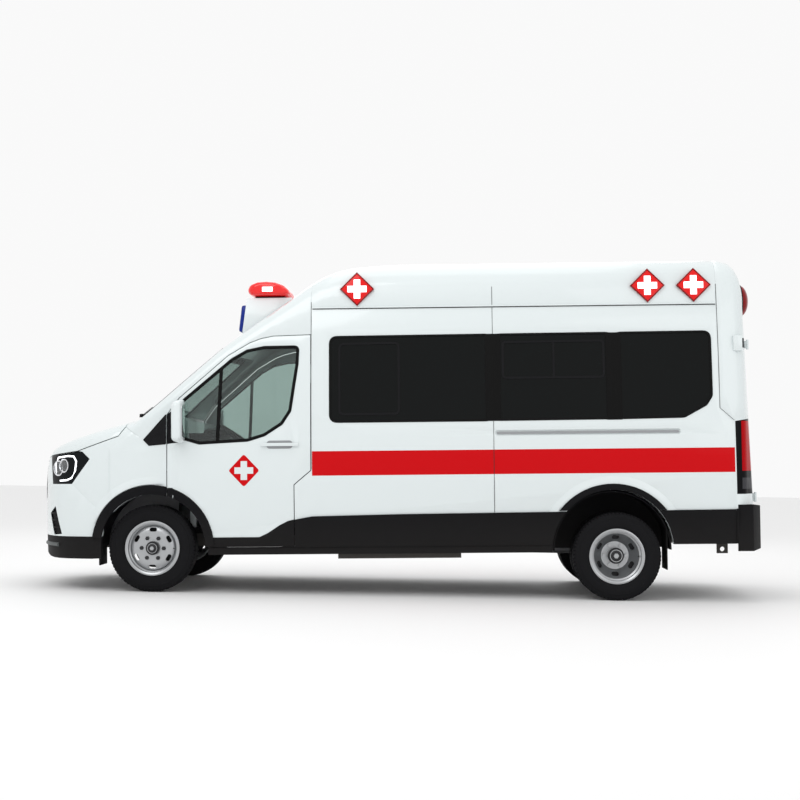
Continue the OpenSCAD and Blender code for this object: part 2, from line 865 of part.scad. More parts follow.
module engine() {
    color([0.35, 0.35, 0.37]) on_body() {
        box(fa - 560, fa + 100, -300, 300, 500, 1020);
        box(fa - 300, fa + 60, -440, 440, 500, 560);
        box(fa - 800, fa - 760, -480, 480, 560, 1060);
        translate([fa + 100, 0, 620]) rotate([0, 90, 0]) cylinder(r = 150, h = 130);
    }
}
module wheel_liners() {
    color([0.1, 0.1, 0.1]) on_body() both() {
        box(fax - front_arch - 34, fax - front_arch - 22, -888, -640, 262, faz + 8);
        box(rax + rear_arch - 51, rax + rear_arch - 43, -925, -640, 195, 516);
        difference() {
            box(fax - 470, fax + 470, -900, -560, faz, faz + 470);
            translate([fax, 0, faz]) rotate([90, 0, 0]) cylinder(r = front_arch + 22, h = big, $fn = 64);
            translate([fax, 0, faz]) difference() {
                rotate([90, 0, 0]) translate([0, 0, -10]) cylinder(r = 900, h = big + 20, $fn = 64);
                rotate([90, 0, 0]) translate([0, 0, -20]) cylinder(r = front_arch + 34, h = big + 40, $fn = 64);
            }
        }
        difference() {
            box(rax - 520, rax + 520, -930, -540, raz, raz + 520);
            translate([rax, -552, raz]) rotate([90, 0, 0]) cylinder(r = rear_arch - 22, h = big, $fn = 64);
            translate([rax, 0, raz]) difference() {
                rotate([90, 0, 0]) translate([0, 0, -10]) cylinder(r = 900, h = big + 20, $fn = 64);
                rotate([90, 0, 0]) translate([0, 0, -20]) cylinder(r = rear_arch - 10, h = big + 40, $fn = 64);
            }
        }
    }
}

// wheels: built about Z with the outer face up
module tyre_ring() {
    rotate_extrude() polygon([[204.2, 58], [204.2, 69], [223, 69], [232, 86], [255, 95], [280, tyre_hw],
        [310, 94],
        [335, 86], [347, 75], [tyre_r, 58], [tyre_r, -58], [347, -75], [335, -86], [310, -94], [280, -tyre_hw],
        [255, -95], [232, -86], [223, -69], [204.2, -69], [204.2, -58], [240, -66], [300, -80], [332, -66],
        [338, -50], [338, 50], [332, 66], [300, 80], [240, 66]]);
}
module barrel() {
    rotate_extrude() polygon([[204, 70], [flange_r, 70], [flange_r, 77], [212, 79], [198, 72],
        [196, 40], [182, 30],
        [182, -30], [196, -40], [198, -72], [212, -79], [flange_r, -77], [flange_r, -70], [204, -70], [204, -42],
        [190, -24], [190, 24], [204, 42]]);
}
module hand_holes(n, r, z0, z1) {
    for (i = [0:n - 1]) rotate([0, 0, (i + 0.5) * 360 / n]) translate([r, 0, z0]) {
        for (y = [-14, 14]) translate([0, y, 0]) cylinder(r = 16, h = z1 - z0);
        translate([-16, -14, 0]) cube([32, 28, z1 - z0]);
    }
}
module nuts(z, h) {
    for (i = [0:5]) rotate([0, 0, i * 60]) translate([nut_circle, 0, z]) cylinder(r = 15, h = h, $fn = 6);
}
module front_rim() {
    difference() {
        union() {
            barrel();
            difference() {
                rotate_extrude() polygon([[0, 40], [60, 40], [110, 46], [150, 42], [182, 12], [184, 20],
                    [172, 44],
                    [150, 56], [110, 60], [70, 52], [0, 52]]);
                hand_holes(6, 150, 0, 90);
            }
            nuts(45, 28);
            translate([0, 0, -8]) cylinder(r = 52, h = 78);
            translate([0, 0, 60]) cylinder(r = 40, h = 26);
        }
        translate([0, 0, -9]) cylinder(r = spindle_r + fit, h = 68);
    }
}
module twin_rim() {
    difference() {
        union() {
            barrel();
            translate([0, 0, -twin]) barrel();
            difference() {
                rotate_extrude() polygon([[0, -twin / 2], [120, -twin / 2], [150, -80], [186, -22], [182, -10],
                    [140, -74], [112, -twin / 2 + 10], [0, -twin / 2 + 10]]);
                hand_holes(6, 148, -100, 0);
            }
            difference() {
                rotate_extrude() polygon([[0, -twin / 2 - 10], [112, -twin / 2 - 10], [140, 74 - twin],
                    [182, 10 - twin],
                    [186, 22 - twin], [150, 80 - twin], [120, -twin / 2], [0, -twin / 2]]);
                hand_holes(6, 148, -twin, 100 - twin);
            }
            nuts(-twin / 2 + 8, 30);
            translate([0, 0, -twin / 2 - 60]) cylinder(r = 64, h = 150);
            translate([0, 0, -twin / 2 + 80]) cylinder(r = 50, h = 40);
        }
        translate([0, 0, -twin / 2 - 61]) cylinder(r = stub_r + fit, h = 124);
    }
}
module at_front(s) {
    translate([fa, s * front_y, tyre_r]) rotate([s > 0 ? -90 : 90, 0, 0]) children();
}
module at_rear(s) {
    translate([ra, s * rear_y, tyre_r]) rotate([s > 0 ? -90 : 90, 0, 0]) children();
}
module rim_front_left() {
    color([0.75, 0.76, 0.78]) at_front(-1) front_rim();
}
module rim_front_right() {
    color([0.75, 0.76, 0.78]) at_front(1) front_rim();
}
module tyre_front_left() {
    color([0.06, 0.06, 0.06]) at_front(-1) tyre_ring();
}
module tyre_front_right() {
    color([0.06, 0.06, 0.06]) at_front(1) tyre_ring();
}
module rim_rear_left() {
    color([0.75, 0.76, 0.78]) at_rear(-1) twin_rim();
}
module rim_rear_right() {
    color([0.75, 0.76, 0.78]) at_rear(1) twin_rim();
}
module tyre_rear_left() {
    color([0.06, 0.06, 0.06]) at_rear(-1) for (z = [0, -twin]) translate([0, 0, z]) tyre_ring();
}
module tyre_rear_right() {
    color([0.06, 0.06, 0.06]) at_rear(1) for (z = [0, -twin]) translate([0, 0, z]) tyre_ring();
}
module steering_wheel() {
    color([0.1, 0.1, 0.1]) on_body() at_wheel() {
        rotate_extrude() translate([190, 0]) circle(r = 14, $fn = 20);
        translate([0, 0, -30]) cylinder(r = 55, h = 30);
        translate([-185, -14, -14]) cube([370, 28, 14]);
        translate([0, 0, -290]) cylinder(r = 22, h = 270);
    }
}

$fn = 64;
floor_pan();
cab_shell();
side_left();
side_right();
sliding_door();
roof();
rear_frame();
wings();
front_bumper();
grille();
headlamps();
tail_lamps();
rear_bumper();
cladding();
windscreen();
side_windows();
hood();
door_left();
door_right();
door_glass_left();
door_glass_right();
rear_door_left();
rear_door_right();
rear_glass_left();
rear_glass_right();
light_pod();
light_bar();
cross_lamps();
partition();
dashboard();
seats();
chassis();
front_axle();
knuckle_left();
knuckle_right();
rear_axle();
driveline();
fuel_tank();
engine();
wheel_liners();
rim_front_left();
rim_front_right();
tyre_front_left();
tyre_front_right();
rim_rear_left();
rim_rear_right();
tyre_rear_left();
tyre_rear_right();
steering_wheel();
vents();
lower_bumper();
mirror_left();
mirror_right();
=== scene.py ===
import json
import logging
import math
from dataclasses import dataclass, field
from enum import Enum
from typing import Callable, Optional, Sequence

import bmesh
import bpy
from mathutils import Matrix, Vector
from mathutils.bvhtree import BVHTree


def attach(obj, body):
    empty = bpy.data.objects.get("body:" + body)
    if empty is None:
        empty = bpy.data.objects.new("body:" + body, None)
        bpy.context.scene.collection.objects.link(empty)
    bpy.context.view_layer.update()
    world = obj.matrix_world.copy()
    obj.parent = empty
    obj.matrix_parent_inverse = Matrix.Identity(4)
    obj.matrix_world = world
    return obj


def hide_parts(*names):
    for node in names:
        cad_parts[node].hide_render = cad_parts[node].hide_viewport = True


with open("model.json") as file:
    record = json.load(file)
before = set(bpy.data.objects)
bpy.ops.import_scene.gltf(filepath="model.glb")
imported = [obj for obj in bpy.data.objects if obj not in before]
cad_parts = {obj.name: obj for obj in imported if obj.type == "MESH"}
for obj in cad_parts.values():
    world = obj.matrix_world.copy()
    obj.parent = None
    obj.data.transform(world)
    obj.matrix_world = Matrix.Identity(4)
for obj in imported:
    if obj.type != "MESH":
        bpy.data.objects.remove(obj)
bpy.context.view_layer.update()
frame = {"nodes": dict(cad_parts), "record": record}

LOG = logging.getLogger("ambulance")

# Front and rear axle in X, and the nose-down rake about a point at the pivot's height
FA = -1.967
RA = 1.783
RAKE = math.radians(1.4)
PIVOT_Z = 0.5
TO_GROUND = (
    Matrix.Translation((0, 0, PIVOT_Z))
    @ Matrix.Rotation(-RAKE, 4, "Y")
    @ Matrix.Translation((0, 0, -PIVOT_Z))
)
TO_BODY = TO_GROUND.inverted()
NODE_BODY = {n: b for b, ns in frame["record"]["behaviour"]["bodies"].items() for n in ns}
Point2 = tuple[float, float]
Place = Callable[[float, float, float], Vector]


class Side(Enum):
    """The two sides of the vehicle, by the sign of Y."""

    LEFT = -1
    RIGHT = 1

    @property
    def word(self) -> str:
        """Returns: the side as it stands in body names."""
        return "left" if self is Side.LEFT else "right"


class Axis(Enum):
    """Body axes that a colour band can lie across."""

    X = 0
    Y = 1
    Z = 2


@dataclass(frozen=True)
class Band:
    """A block of another colour in a finish, given in body coordinates.

    limits holds one (axis, low, high) for each axis that bounds the block. gloss is the share of the
    finish's clear coat and specular level that the block keeps.
    """

    colour: tuple[float, float, float]
    limits: tuple[tuple[Axis, float, float], ...]
    gloss: float = 1.0


@dataclass(frozen=True)
class Finish:
    """A procedural surface: plain colour, small changes in gloss, and grain."""

    name: str
    colour: tuple[float, float, float]
    roughness: float
    metallic: float = 0.0
    coat: float = 0.0
    transmission: float = 0.0
    emission: float = 0.0
    specular: float = 0.5
    grain: float = 0.0
    grain_scale: float = 500.0
    drift: float = 0.04
    dirt: float = 0.0
    bands: tuple[Band, ...] = ()

    def material(self) -> bpy.types.Material:
        """Returns: the Blender material, made once and then shared."""
        found = bpy.data.materials.get(self.name)
        if found is not None:
            return found
        made = bpy.data.materials.new(self.name)
        made.use_nodes = True
        tree = made.node_tree
        shader = tree.nodes["Principled BSDF"]
        shader.inputs["Base Color"].default_value = (*self.colour, 1.0)
        shader.inputs["Metallic"].default_value = self.metallic
        shader.inputs["Roughness"].default_value = self.roughness
        shader.inputs["Specular IOR Level"].default_value = self.specular
        shader.inputs["Coat Weight"].default_value = self.coat
        shader.inputs["Coat Roughness"].default_value = 0.06
        shader.inputs["Transmission Weight"].default_value = self.transmission
        shader.inputs["Emission Color"].default_value = (*self.colour, 1.0)
        shader.inputs["Emission Strength"].default_value = self.emission
        coords = tree.nodes.new("ShaderNodeTexCoord")
        self._gloss(tree, coords, shader)
        self._relief(tree, coords, shader)
        self._colours(tree, coords, shader)
        made.diffuse_color = (*self.colour, 1.0)
        return made

    def _gloss(self, tree: bpy.types.NodeTree, coords: bpy.types.Node, shader: bpy.types.Node) -> None:
        """Lets the roughness drift a little over the surface.

        Args:
            tree: the material's node tree.
            coords: its texture coordinate node.
            shader: its principled shader.
        """
        if self.drift <= 0:
            return
        noise = tree.nodes.new("ShaderNodeTexNoise")
        noise.inputs["Scale"].default_value = 5.0
        noise.inputs["Detail"].default_value = 5.0
        span = tree.nodes.new("ShaderNodeMapRange")
        span.inputs["To Min"].default_value = max(0.0, self.roughness - self.drift)
        span.inputs["To Max"].default_value = min(1.0, self.roughness + self.drift)
        tree.links.new(coords.outputs["Object"], noise.inputs["Vector"])
        tree.links.new(noise.outputs["Fac"], span.inputs["Value"])
        tree.links.new(span.outputs["Result"], shader.inputs["Roughness"])

    def _relief(self, tree: bpy.types.NodeTree, coords: bpy.types.Node, shader: bpy.types.Node) -> None:
        """Adds fine grain as a bump.

        Args:
            tree: the material's node tree.
            coords: its texture coordinate node.
            shader: its principled shader.
        """
        if self.grain <= 0:
            return
        noise = tree.nodes.new("ShaderNodeTexNoise")
        noise.inputs["Scale"].default_value = self.grain_scale
        noise.inputs["Detail"].default_value = 2.0
        bump = tree.nodes.new("ShaderNodeBump")
        bump.inputs["Strength"].default_value = self.grain
        bump.inputs["Distance"].default_value = 0.001
        tree.links.new(coords.outputs["Object"], noise.inputs["Vector"])
        tree.links.new(noise.outputs["Fac"], bump.inputs["Height"])
        tree.links.new(bump.outputs["Normal"], shader.inputs["Normal"])

    def _colours(self, tree: bpy.types.NodeTree, coords: bpy.types.Node, shader: bpy.types.Node) -> None:
        """Lays the bands of other colours, and dirt near the ground, over the base colour.

        Args:
            tree: the material's node tree.
            coords: its texture coordinate node.
            shader: its principled shader.
        """
        if not self.bands and self.dirt <= 0:
            return
        turn = tree.nodes.new("ShaderNodeMapping")
        turn.inputs["Rotation"].default_value = (0.0, RAKE, 0.0)
        turn.inputs["Location"].default_value = (
            -PIVOT_Z * math.sin(RAKE),
            0.0,
            PIVOT_Z * (1 - math.cos(RAKE)),
        )
        split = tree.nodes.new("ShaderNodeSeparateXYZ")
        tree.links.new(coords.outputs["Object"], turn.inputs["Vector"])
        tree.links.new(turn.outputs["Vector"], split.inputs["Vector"])
        last = None
        for band in self.bands:
            mask = self._mask(tree, split, band)
            last = self._over(tree, last, mask, band.colour)
            if band.gloss < 1.0:
                self._dull(tree, mask, band.gloss, shader)
        if self.dirt > 0:
            low = tree.nodes.new("ShaderNodeMapRange")
            low.inputs["From Min"].default_value = 0.25
            low.inputs["From Max"].default_value = 0.75
            low.inputs["To Min"].default_value = self.dirt
            low.inputs["To Max"].default_value = 0.0
            tree.links.new(split.outputs["Z"], low.inputs["Value"])
            last = self._over(tree, last, low.outputs["Result"], (0.32, 0.29, 0.25))
        tree.links.new(last, shader.inputs["Base Color"])
        if self.emission > 0:
            tree.links.new(last, shader.inputs["Emission Color"])

    def _mask(self, tree: bpy.types.NodeTree, split: bpy.types.Node, band: Band) -> bpy.types.NodeSocket:
        """Makes the mask of one band.

        Args:
            tree: the material's node tree.
            split: the node that splits body coordinates.
            band: the band.

        Returns:
            The socket that is 1 inside the band.
        """
        last = None
        for axis, low, high in band.limits:
            test = tree.nodes.new("ShaderNodeMath")
            test.operation = "COMPARE"
            test.inputs[1].default_value = (low + high) / 2
            test.inputs[2].default_value = (high - low) / 2
            tree.links.new(split.outputs[axis.value], test.inputs[0])
            if last is None:
                last = test.outputs[0]
                continue
            both = tree.nodes.new("ShaderNodeMath")
            both.operation = "MULTIPLY"
            tree.links.new(last, both.inputs[0])
            tree.links.new(test.outputs[0], both.inputs[1])
            last = both.outputs[0]
        return last

    def _dull(
        self,
        tree: bpy.types.NodeTree,
        mask: bpy.types.NodeSocket,
        share: float,
        shader: bpy.types.Node,
    ) -> None:
        """Lowers the clear coat and the specular level where a band lies.

        Args:
            tree: the material's node tree.
            mask: where the band shows.
            share: the share that is kept.
            shader: the principled shader.
        """
        for name in ("Coat Weight", "Specular IOR Level"):
            socket = shader.inputs[name]
            span = tree.nodes.new("ShaderNodeMapRange")
            span.inputs["To Min"].default_value = 1.0
            span.inputs["To Max"].default_value = share
            tree.links.new(mask, span.inputs["Value"])
            level = tree.nodes.new("ShaderNodeMath")
            level.operation = "MULTIPLY"
            level.inputs[0].default_value = socket.default_value
            if socket.links:
                tree.links.new(socket.links[0].from_socket, level.inputs[0])
            tree.links.new(span.outputs["Result"], level.inputs[1])
            tree.links.new(level.outputs[0], socket)

    def _over(
        self,
        tree: bpy.types.NodeTree,
        below: Optional[bpy.types.NodeSocket],
        mask: bpy.types.NodeSocket,
        colour: tuple[float, float, float],
    ) -> bpy.types.NodeSocket:
        """Lays one colour over another.

        Args:
            tree: the material's node tree.
            below: the colour so far, or None for the base colour.
            mask: where the new colour shows.
            colour: the new colour.

        Returns:
            The mixed colour's socket.
        """
        mix = tree.nodes.new("ShaderNodeMix")
        mix.data_type = "RGBA"
        mix.inputs[6].default_value = (*self.colour, 1.0)
        mix.inputs[7].default_value = (*colour, 1.0)
        tree.links.new(mask, mix.inputs[0])
        if below is not None:
            tree.links.new(below, mix.inputs[6])
        return mix.outputs[2]


RED = (0.56, 0.002, 0.005)
PAINT = (0.69, 0.745, 0.75)
DARK = (0.006, 0.006, 0.007)
STRIPE = Band(RED, ((Axis.Z, 0.976, 1.173), (Axis.X, FA + 1.306, RA + 0.942)), 0.12)
WHITE = Finish("white_paint", PAINT, 0.24, coat=0.6, drift=0.03)
STRIPED = Finish("white_paint_red_stripe", PAINT, 0.24, coat=0.6, drift=0.03, bands=(STRIPE,))
DOOR_BANDS = (
    Band(DARK, ((Axis.Z, 0.8, 0.889), (Axis.X, FA + 0.12, FA + 0.18)), 0.15),
    Band(DARK, ((Axis.Z, 0.38, 0.482), (Axis.X, FA + 0.43, FA + 1.17)), 0.15),
)
DOOR_PAINT = Finish("door_paint", PAINT, 0.24, coat=0.6, drift=0.03, bands=DOOR_BANDS)
RED_PAINT = Finish("red_film", RED, 0.35, specular=0.08)
BLACK = Finish("grained_black_plastic", DARK, 0.6, specular=0.08, grain=0.35, grain_scale=700, dirt=0.03)
GLOSS_BLACK = Finish("gloss_black", (0.004, 0.004, 0.005), 0.15, specular=0.14, coat=0.04)
# Grey trim colour for the door rail and the bumper sensors; on the handle cup the same grey is painted
# shade.
GREY_TRIM_AND_SHADE = Finish("grey_trim_and_shade", (0.28, 0.29, 0.3), 0.4, grain=0.1)
SLATE = Finish("slate_trim", (0.08, 0.09, 0.09), 0.45, specular=0.2, grain=0.1)
DEEP_RED = Finish("dark_red_lens", (0.2, 0.002, 0.003), 0.12, specular=0.2, coat=0.1, emission=0.1)
SEAL = Finish("rubber_seal", (0.005, 0.005, 0.005), 0.6, specular=0.08, grain=0.1)
TINTED = Finish("tinted_glass", (0.003, 0.004, 0.004), 0.03, specular=0.045, transmission=0.2, drift=0.0)
CLEAR = Finish("cab_glass", (0.5, 0.6, 0.57), 0.02, specular=0.25, transmission=1.0, drift=0.0)
LENS = Finish("clear_lens", (0.9, 0.93, 0.95), 0.03, transmission=0.9, drift=0.0)
SMOKED = Finish("headlamp_glass", (0.006, 0.007, 0.008), 0.05, specular=0.08, drift=0.01)
CHROME = Finish("chrome", (0.75, 0.76, 0.78), 0.1, metallic=1.0)
DAYLIGHT = Finish("white_light", (0.95, 0.97, 1.0), 0.2, emission=1.6)
RED_LENS = Finish("red_lens", (0.6, 0.004, 0.004), 0.12, specular=0.2, coat=0.2, emission=0.25)
BLUE = Finish("blue_lens", (0.004, 0.02, 0.2), 0.12, specular=0.2, emission=0.1)
RUBBER = Finish(
    "tyre_rubber", (0.008, 0.008, 0.009), 0.75, specular=0.1, grain=0.3, grain_scale=260, drift=0.08
)
SILVER = Finish("silver_wheel_paint", (0.42, 0.43, 0.44), 0.3, metallic=0.85, coat=0.1, drift=0.06)
IRON = Finish("dark_iron", (0.03, 0.03, 0.032), 0.5, metallic=0.6, drift=0.1)
CHASSIS = Finish("chassis_paint", (0.012, 0.012, 0.014), 0.5, specular=0.2, grain=0.15, dirt=0.2)
CASTING = Finish("cast_metal", (0.2, 0.2, 0.21), 0.5, metallic=0.8, grain=0.3)
LINING = Finish("pale_lining", (0.62, 0.63, 0.64), 0.5, grain=0.1)
DASH = Finish("dash_plastic", (0.015, 0.016, 0.018), 0.6, specular=0.2, grain=0.3, grain_scale=600)
FABRIC = Finish("seat_fabric", (0.03, 0.033, 0.042), 0.9, grain=0.8, grain_scale=900)
MIRROR = Finish("mirror_glass", (0.8, 0.82, 0.83), 0.02, metallic=1.0, drift=0.0)
FLOOR = Finish("studio_floor", (0.86, 0.86, 0.86), 0.7)
SEAM = Finish("seam_shadow", (0.03, 0.03, 0.032), 0.7, specular=0.1)
BAR_BANDS = tuple(
    Band(colour, ((Axis.Y, low, high), (Axis.Z, 2.45, 2.7)))
    for colour, low, high in (
        ((0.85, 0.86, 0.88), -0.15, 0.15),
        ((0.03, 0.03, 0.03), -0.158, -0.15),
        ((0.03, 0.03, 0.03), 0.15, 0.158),
    )
)
BAR_LENS = Finish("light_bar_lens", (0.62, 0.004, 0.004), 0.1, coat=0.25, emission=0.35, bands=BAR_BANDS)
TAIL_BANDS = (
    Band((0.4, 0.001, 0.004), ((Axis.Z, 0.985, 1.385), (Axis.X, RA + 1.0, RA + 1.3))),
    Band((0.05, 0.05, 0.055), ((Axis.Z, 0.84, 0.93), (Axis.X, RA + 1.0, RA + 1.3))),
)
TAIL_LENS = Finish("tail_lens", DARK, 0.15, specular=0.05, bands=TAIL_BANDS)


def side_y(z: float) -> float:
    """Gives the body's half width.

    Args:
        z: height in body coordinates.

    Returns:
        The half width there in metres.
    """
    return 1.025 - (0.052 if z > 0.9 else 0.13) * (z - 0.9) ** 2


def side_place(side: Side) -> Place:
    """Gives the map from the side view onto a flank.

    Args:
        side: which flank.

    Returns:
        A function of x, z and lift above the skin.
    """
    return lambda x, z, lift: Vector((x, side.value * (side_y(z) + lift), z))


def rear_place(y: float, z: float, lift: float) -> Vector:
    """Maps the rear view onto the rear doors.

    Args:
        y: distance from the middle.
        z: height in body coordinates.
        lift: distance outside the skin.

    Returns:
        The point in body coordinates.
    """
    return Vector((RA + 1.124 - (z - 0.48) * 0.070 / 2.07 + lift, y, z))


def tail_place(side: Side) -> Place:
    """Gives the map onto one rear door.

    Args:
        side: which door.

    Returns:
        A function of the distance outwards from the middle, z and lift above the skin.
    """
    return lambda out, z, lift: rear_place(side.value * out, z, lift)


SCREEN_ROWS = (
    (FA - 0.33, 1.366, 0.13),
    (FA - 0.2, 1.475, 0.128),
    (FA + 0.046, 1.678, 0.124),
    (FA + 0.236, 1.838, 0.12),
    (FA + 0.445, 2.012, 0.114),
    (FA + 0.549, 2.098, 0.11),
    (FA + 0.7, 2.206, 0.104),
)


def screen_place(y: float, z: float, lift: float) -> Vector:
    """Maps the front view onto the windscreen.

    Args:
        y: distance from the middle.
        z: height in body coordinates.
        lift: distance outside the glass line.

    Returns:
        The point in body coordinates.
    """
    for (xa, ta, ca), (xb, tb, cb) in zip(SCREEN_ROWS, SCREEN_ROWS[1:]):
        za = ta - ca * (y / side_y(ta - ca)) ** 2
        zb = tb - cb * (y / side_y(tb - cb)) ** 2
        if z <= zb or xb == SCREEN_ROWS[-1][0]:
            x = xa + (xb - xa) * (z - za) / (zb - za)
            return Vector((x - 0.63 * lift, y, z + 0.77 * lift))
    return Vector((FA, y, z))


def rounded(points: Sequence[Point2], radius: float, steps: int = 5) -> list[Point2]:
    """Rounds the corners of an outline.

    Args:
        points: the corners in order.
        radius: largest radius of a corner.
        steps: segments in each corner.

    Returns:
        The finer outline.
    """
    made: list[Point2] = []
    count = len(points)
    for i, p in enumerate(points):
        here = Vector(p)
        before = Vector(points[i - 1]) - here
        after = Vector(points[(i + 1) % count]) - here
        half = before.angle(after) / 2
        reach = min(radius / math.tan(half), 0.45 * before.length, 0.45 * after.length)
        a = here + before.normalized() * reach
        b = here + after.normalized() * reach
        for k in range(steps + 1):
            t = k / steps
            q = (1 - t) ** 2 * a + 2 * t * (1 - t) * here + t * t * b
            made.append((q.x, q.y))
    return made


def spread(points: Sequence[Point2], distance: float) -> list[Point2]:
    """Moves an outline outwards, or inwards for a negative distance.

    Args:
        points: a closed outline.
        distance: how far.

    Returns:
        The moved outline.
    """
    area = sum(p[0] * q[1] - q[0] * p[1] for p, q in zip(points, [*points[1:], points[0]]))
    turn = 1.0 if area > 0 else -1.0
    made: list[Point2] = []
    for i, p in enumerate(points):
        along = Vector(points[(i + 1) % len(points)]) - Vector(points[i - 1])
        normal = Vector((along.y, -along.x)).normalized() * turn
        made.append((p[0] + normal.x * distance, p[1] + normal.y * distance))
    return made


def fine(points: Sequence[Point2], step: float = 0.05) -> list[Point2]:
    """Splits the long sides of a closed outline, so that it can follow a curved surface.

    Args:
        points: the outline.
        step: longest side that stays whole.

    Returns:
        The finer outline.
    """
    made: list[Point2] = []
    for (ua, va), (ub, vb) in zip(points, [*points[1:], points[0]]):
        count = max(1, math.ceil(Vector((ub - ua, vb - va)).length / step))
        made.extend((ua + (ub - ua) * k / count, va + (vb - va) * k / count) for k in range(count))
    return made


def arc(centre: Point2, radius: float, start: float, sweep: float, steps: int) -> list[Point2]:
    """Gives points along an arc.

    Args:
        centre: its centre.
        radius: its radius.
        start: angle of its first point in degrees.
        sweep: angle that it covers in degrees.
        steps: number of segments.

    Returns:
        The points in order.
    """
    made: list[Point2] = []
    for k in range(steps + 1):
        angle = math.radians(start + sweep * k / steps)
        made.append((centre[0] + radius * math.cos(angle), centre[1] + radius * math.sin(angle)))
    return made


def soften(bm: bmesh.types.BMesh, angle: float) -> None:
    """Shades faces smooth and keeps edges sharper than the angle.

    Args:
        bm: the mesh.
        angle: the angle in degrees.
    """
    for f in bm.faces:
        f.smooth = True
    for e in bm.edges:
        e.smooth = e.calc_face_angle(math.pi) < math.radians(angle)


def bevel_edges(bm: bmesh.types.BMesh, width: float, angle: float, segments: int = 2) -> None:
    """Rounds the edges that are sharper than the angle.

    Args:
        bm: the mesh.
        width: width of the rounding.
        angle: the angle in degrees.
        segments: segments across it.
    """
    sharp = [e for e in bm.edges if e.is_manifold and e.calc_face_angle(0.0) > math.radians(angle)]
    bmesh.ops.bevel(
        bm,
        geom=sharp,
        offset=width,
        offset_type="OFFSET",
        segments=segments,
        profile=0.5,
        affect="EDGES",
        clamp_overlap=True,
        material=-1,
    )


def link(name: str, mesh: bpy.types.Mesh, body: str, finish: Finish) -> bpy.types.Object:
    """Puts a mesh into the scene as a piece on a body.

    Args:
        name: the piece's name.
        mesh: its mesh, in the row frame.
        body: the CAD body it rides on.
        finish: its finish.

    Returns:
        The new object.
    """
    piece = bpy.data.objects.new(name, mesh)
    bpy.context.scene.collection.objects.link(piece)
    mesh.materials.clear()
    mesh.materials.append(finish.material())
    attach(piece, body)
    LOG.info("made %s on %s", name, body)
    return piece


def smooth_copy(node: str, finish: Finish, width: float = 0.002, angle: float = 28) -> None:
    """Replaces a CAD node by a copy with rounded edges and smooth faces.

    Args:
        node: the CAD node.
        finish: its finish.
        width: width of the rounded edges.
        angle: edges sharper than this stay sharp.
    """
    if node not in frame["nodes"]:
        return
    mesh = frame["nodes"][node].data.copy()
    bm = bmesh.new()
    bm.from_mesh(mesh)
    bmesh.ops.remove_doubles(bm, verts=bm.verts[:], dist=0.0002)
    bmesh.ops.dissolve_limit(bm, angle_limit=math.radians(0.4), verts=bm.verts[:], edges=bm.edges[:])
    if width > 0:
        bevel_edges(bm, width, 40)
    soften(bm, angle)
    bm.to_mesh(mesh)
    bm.free()
    piece = link(node + "_skin", mesh, NODE_BODY[node], finish)
    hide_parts(node)


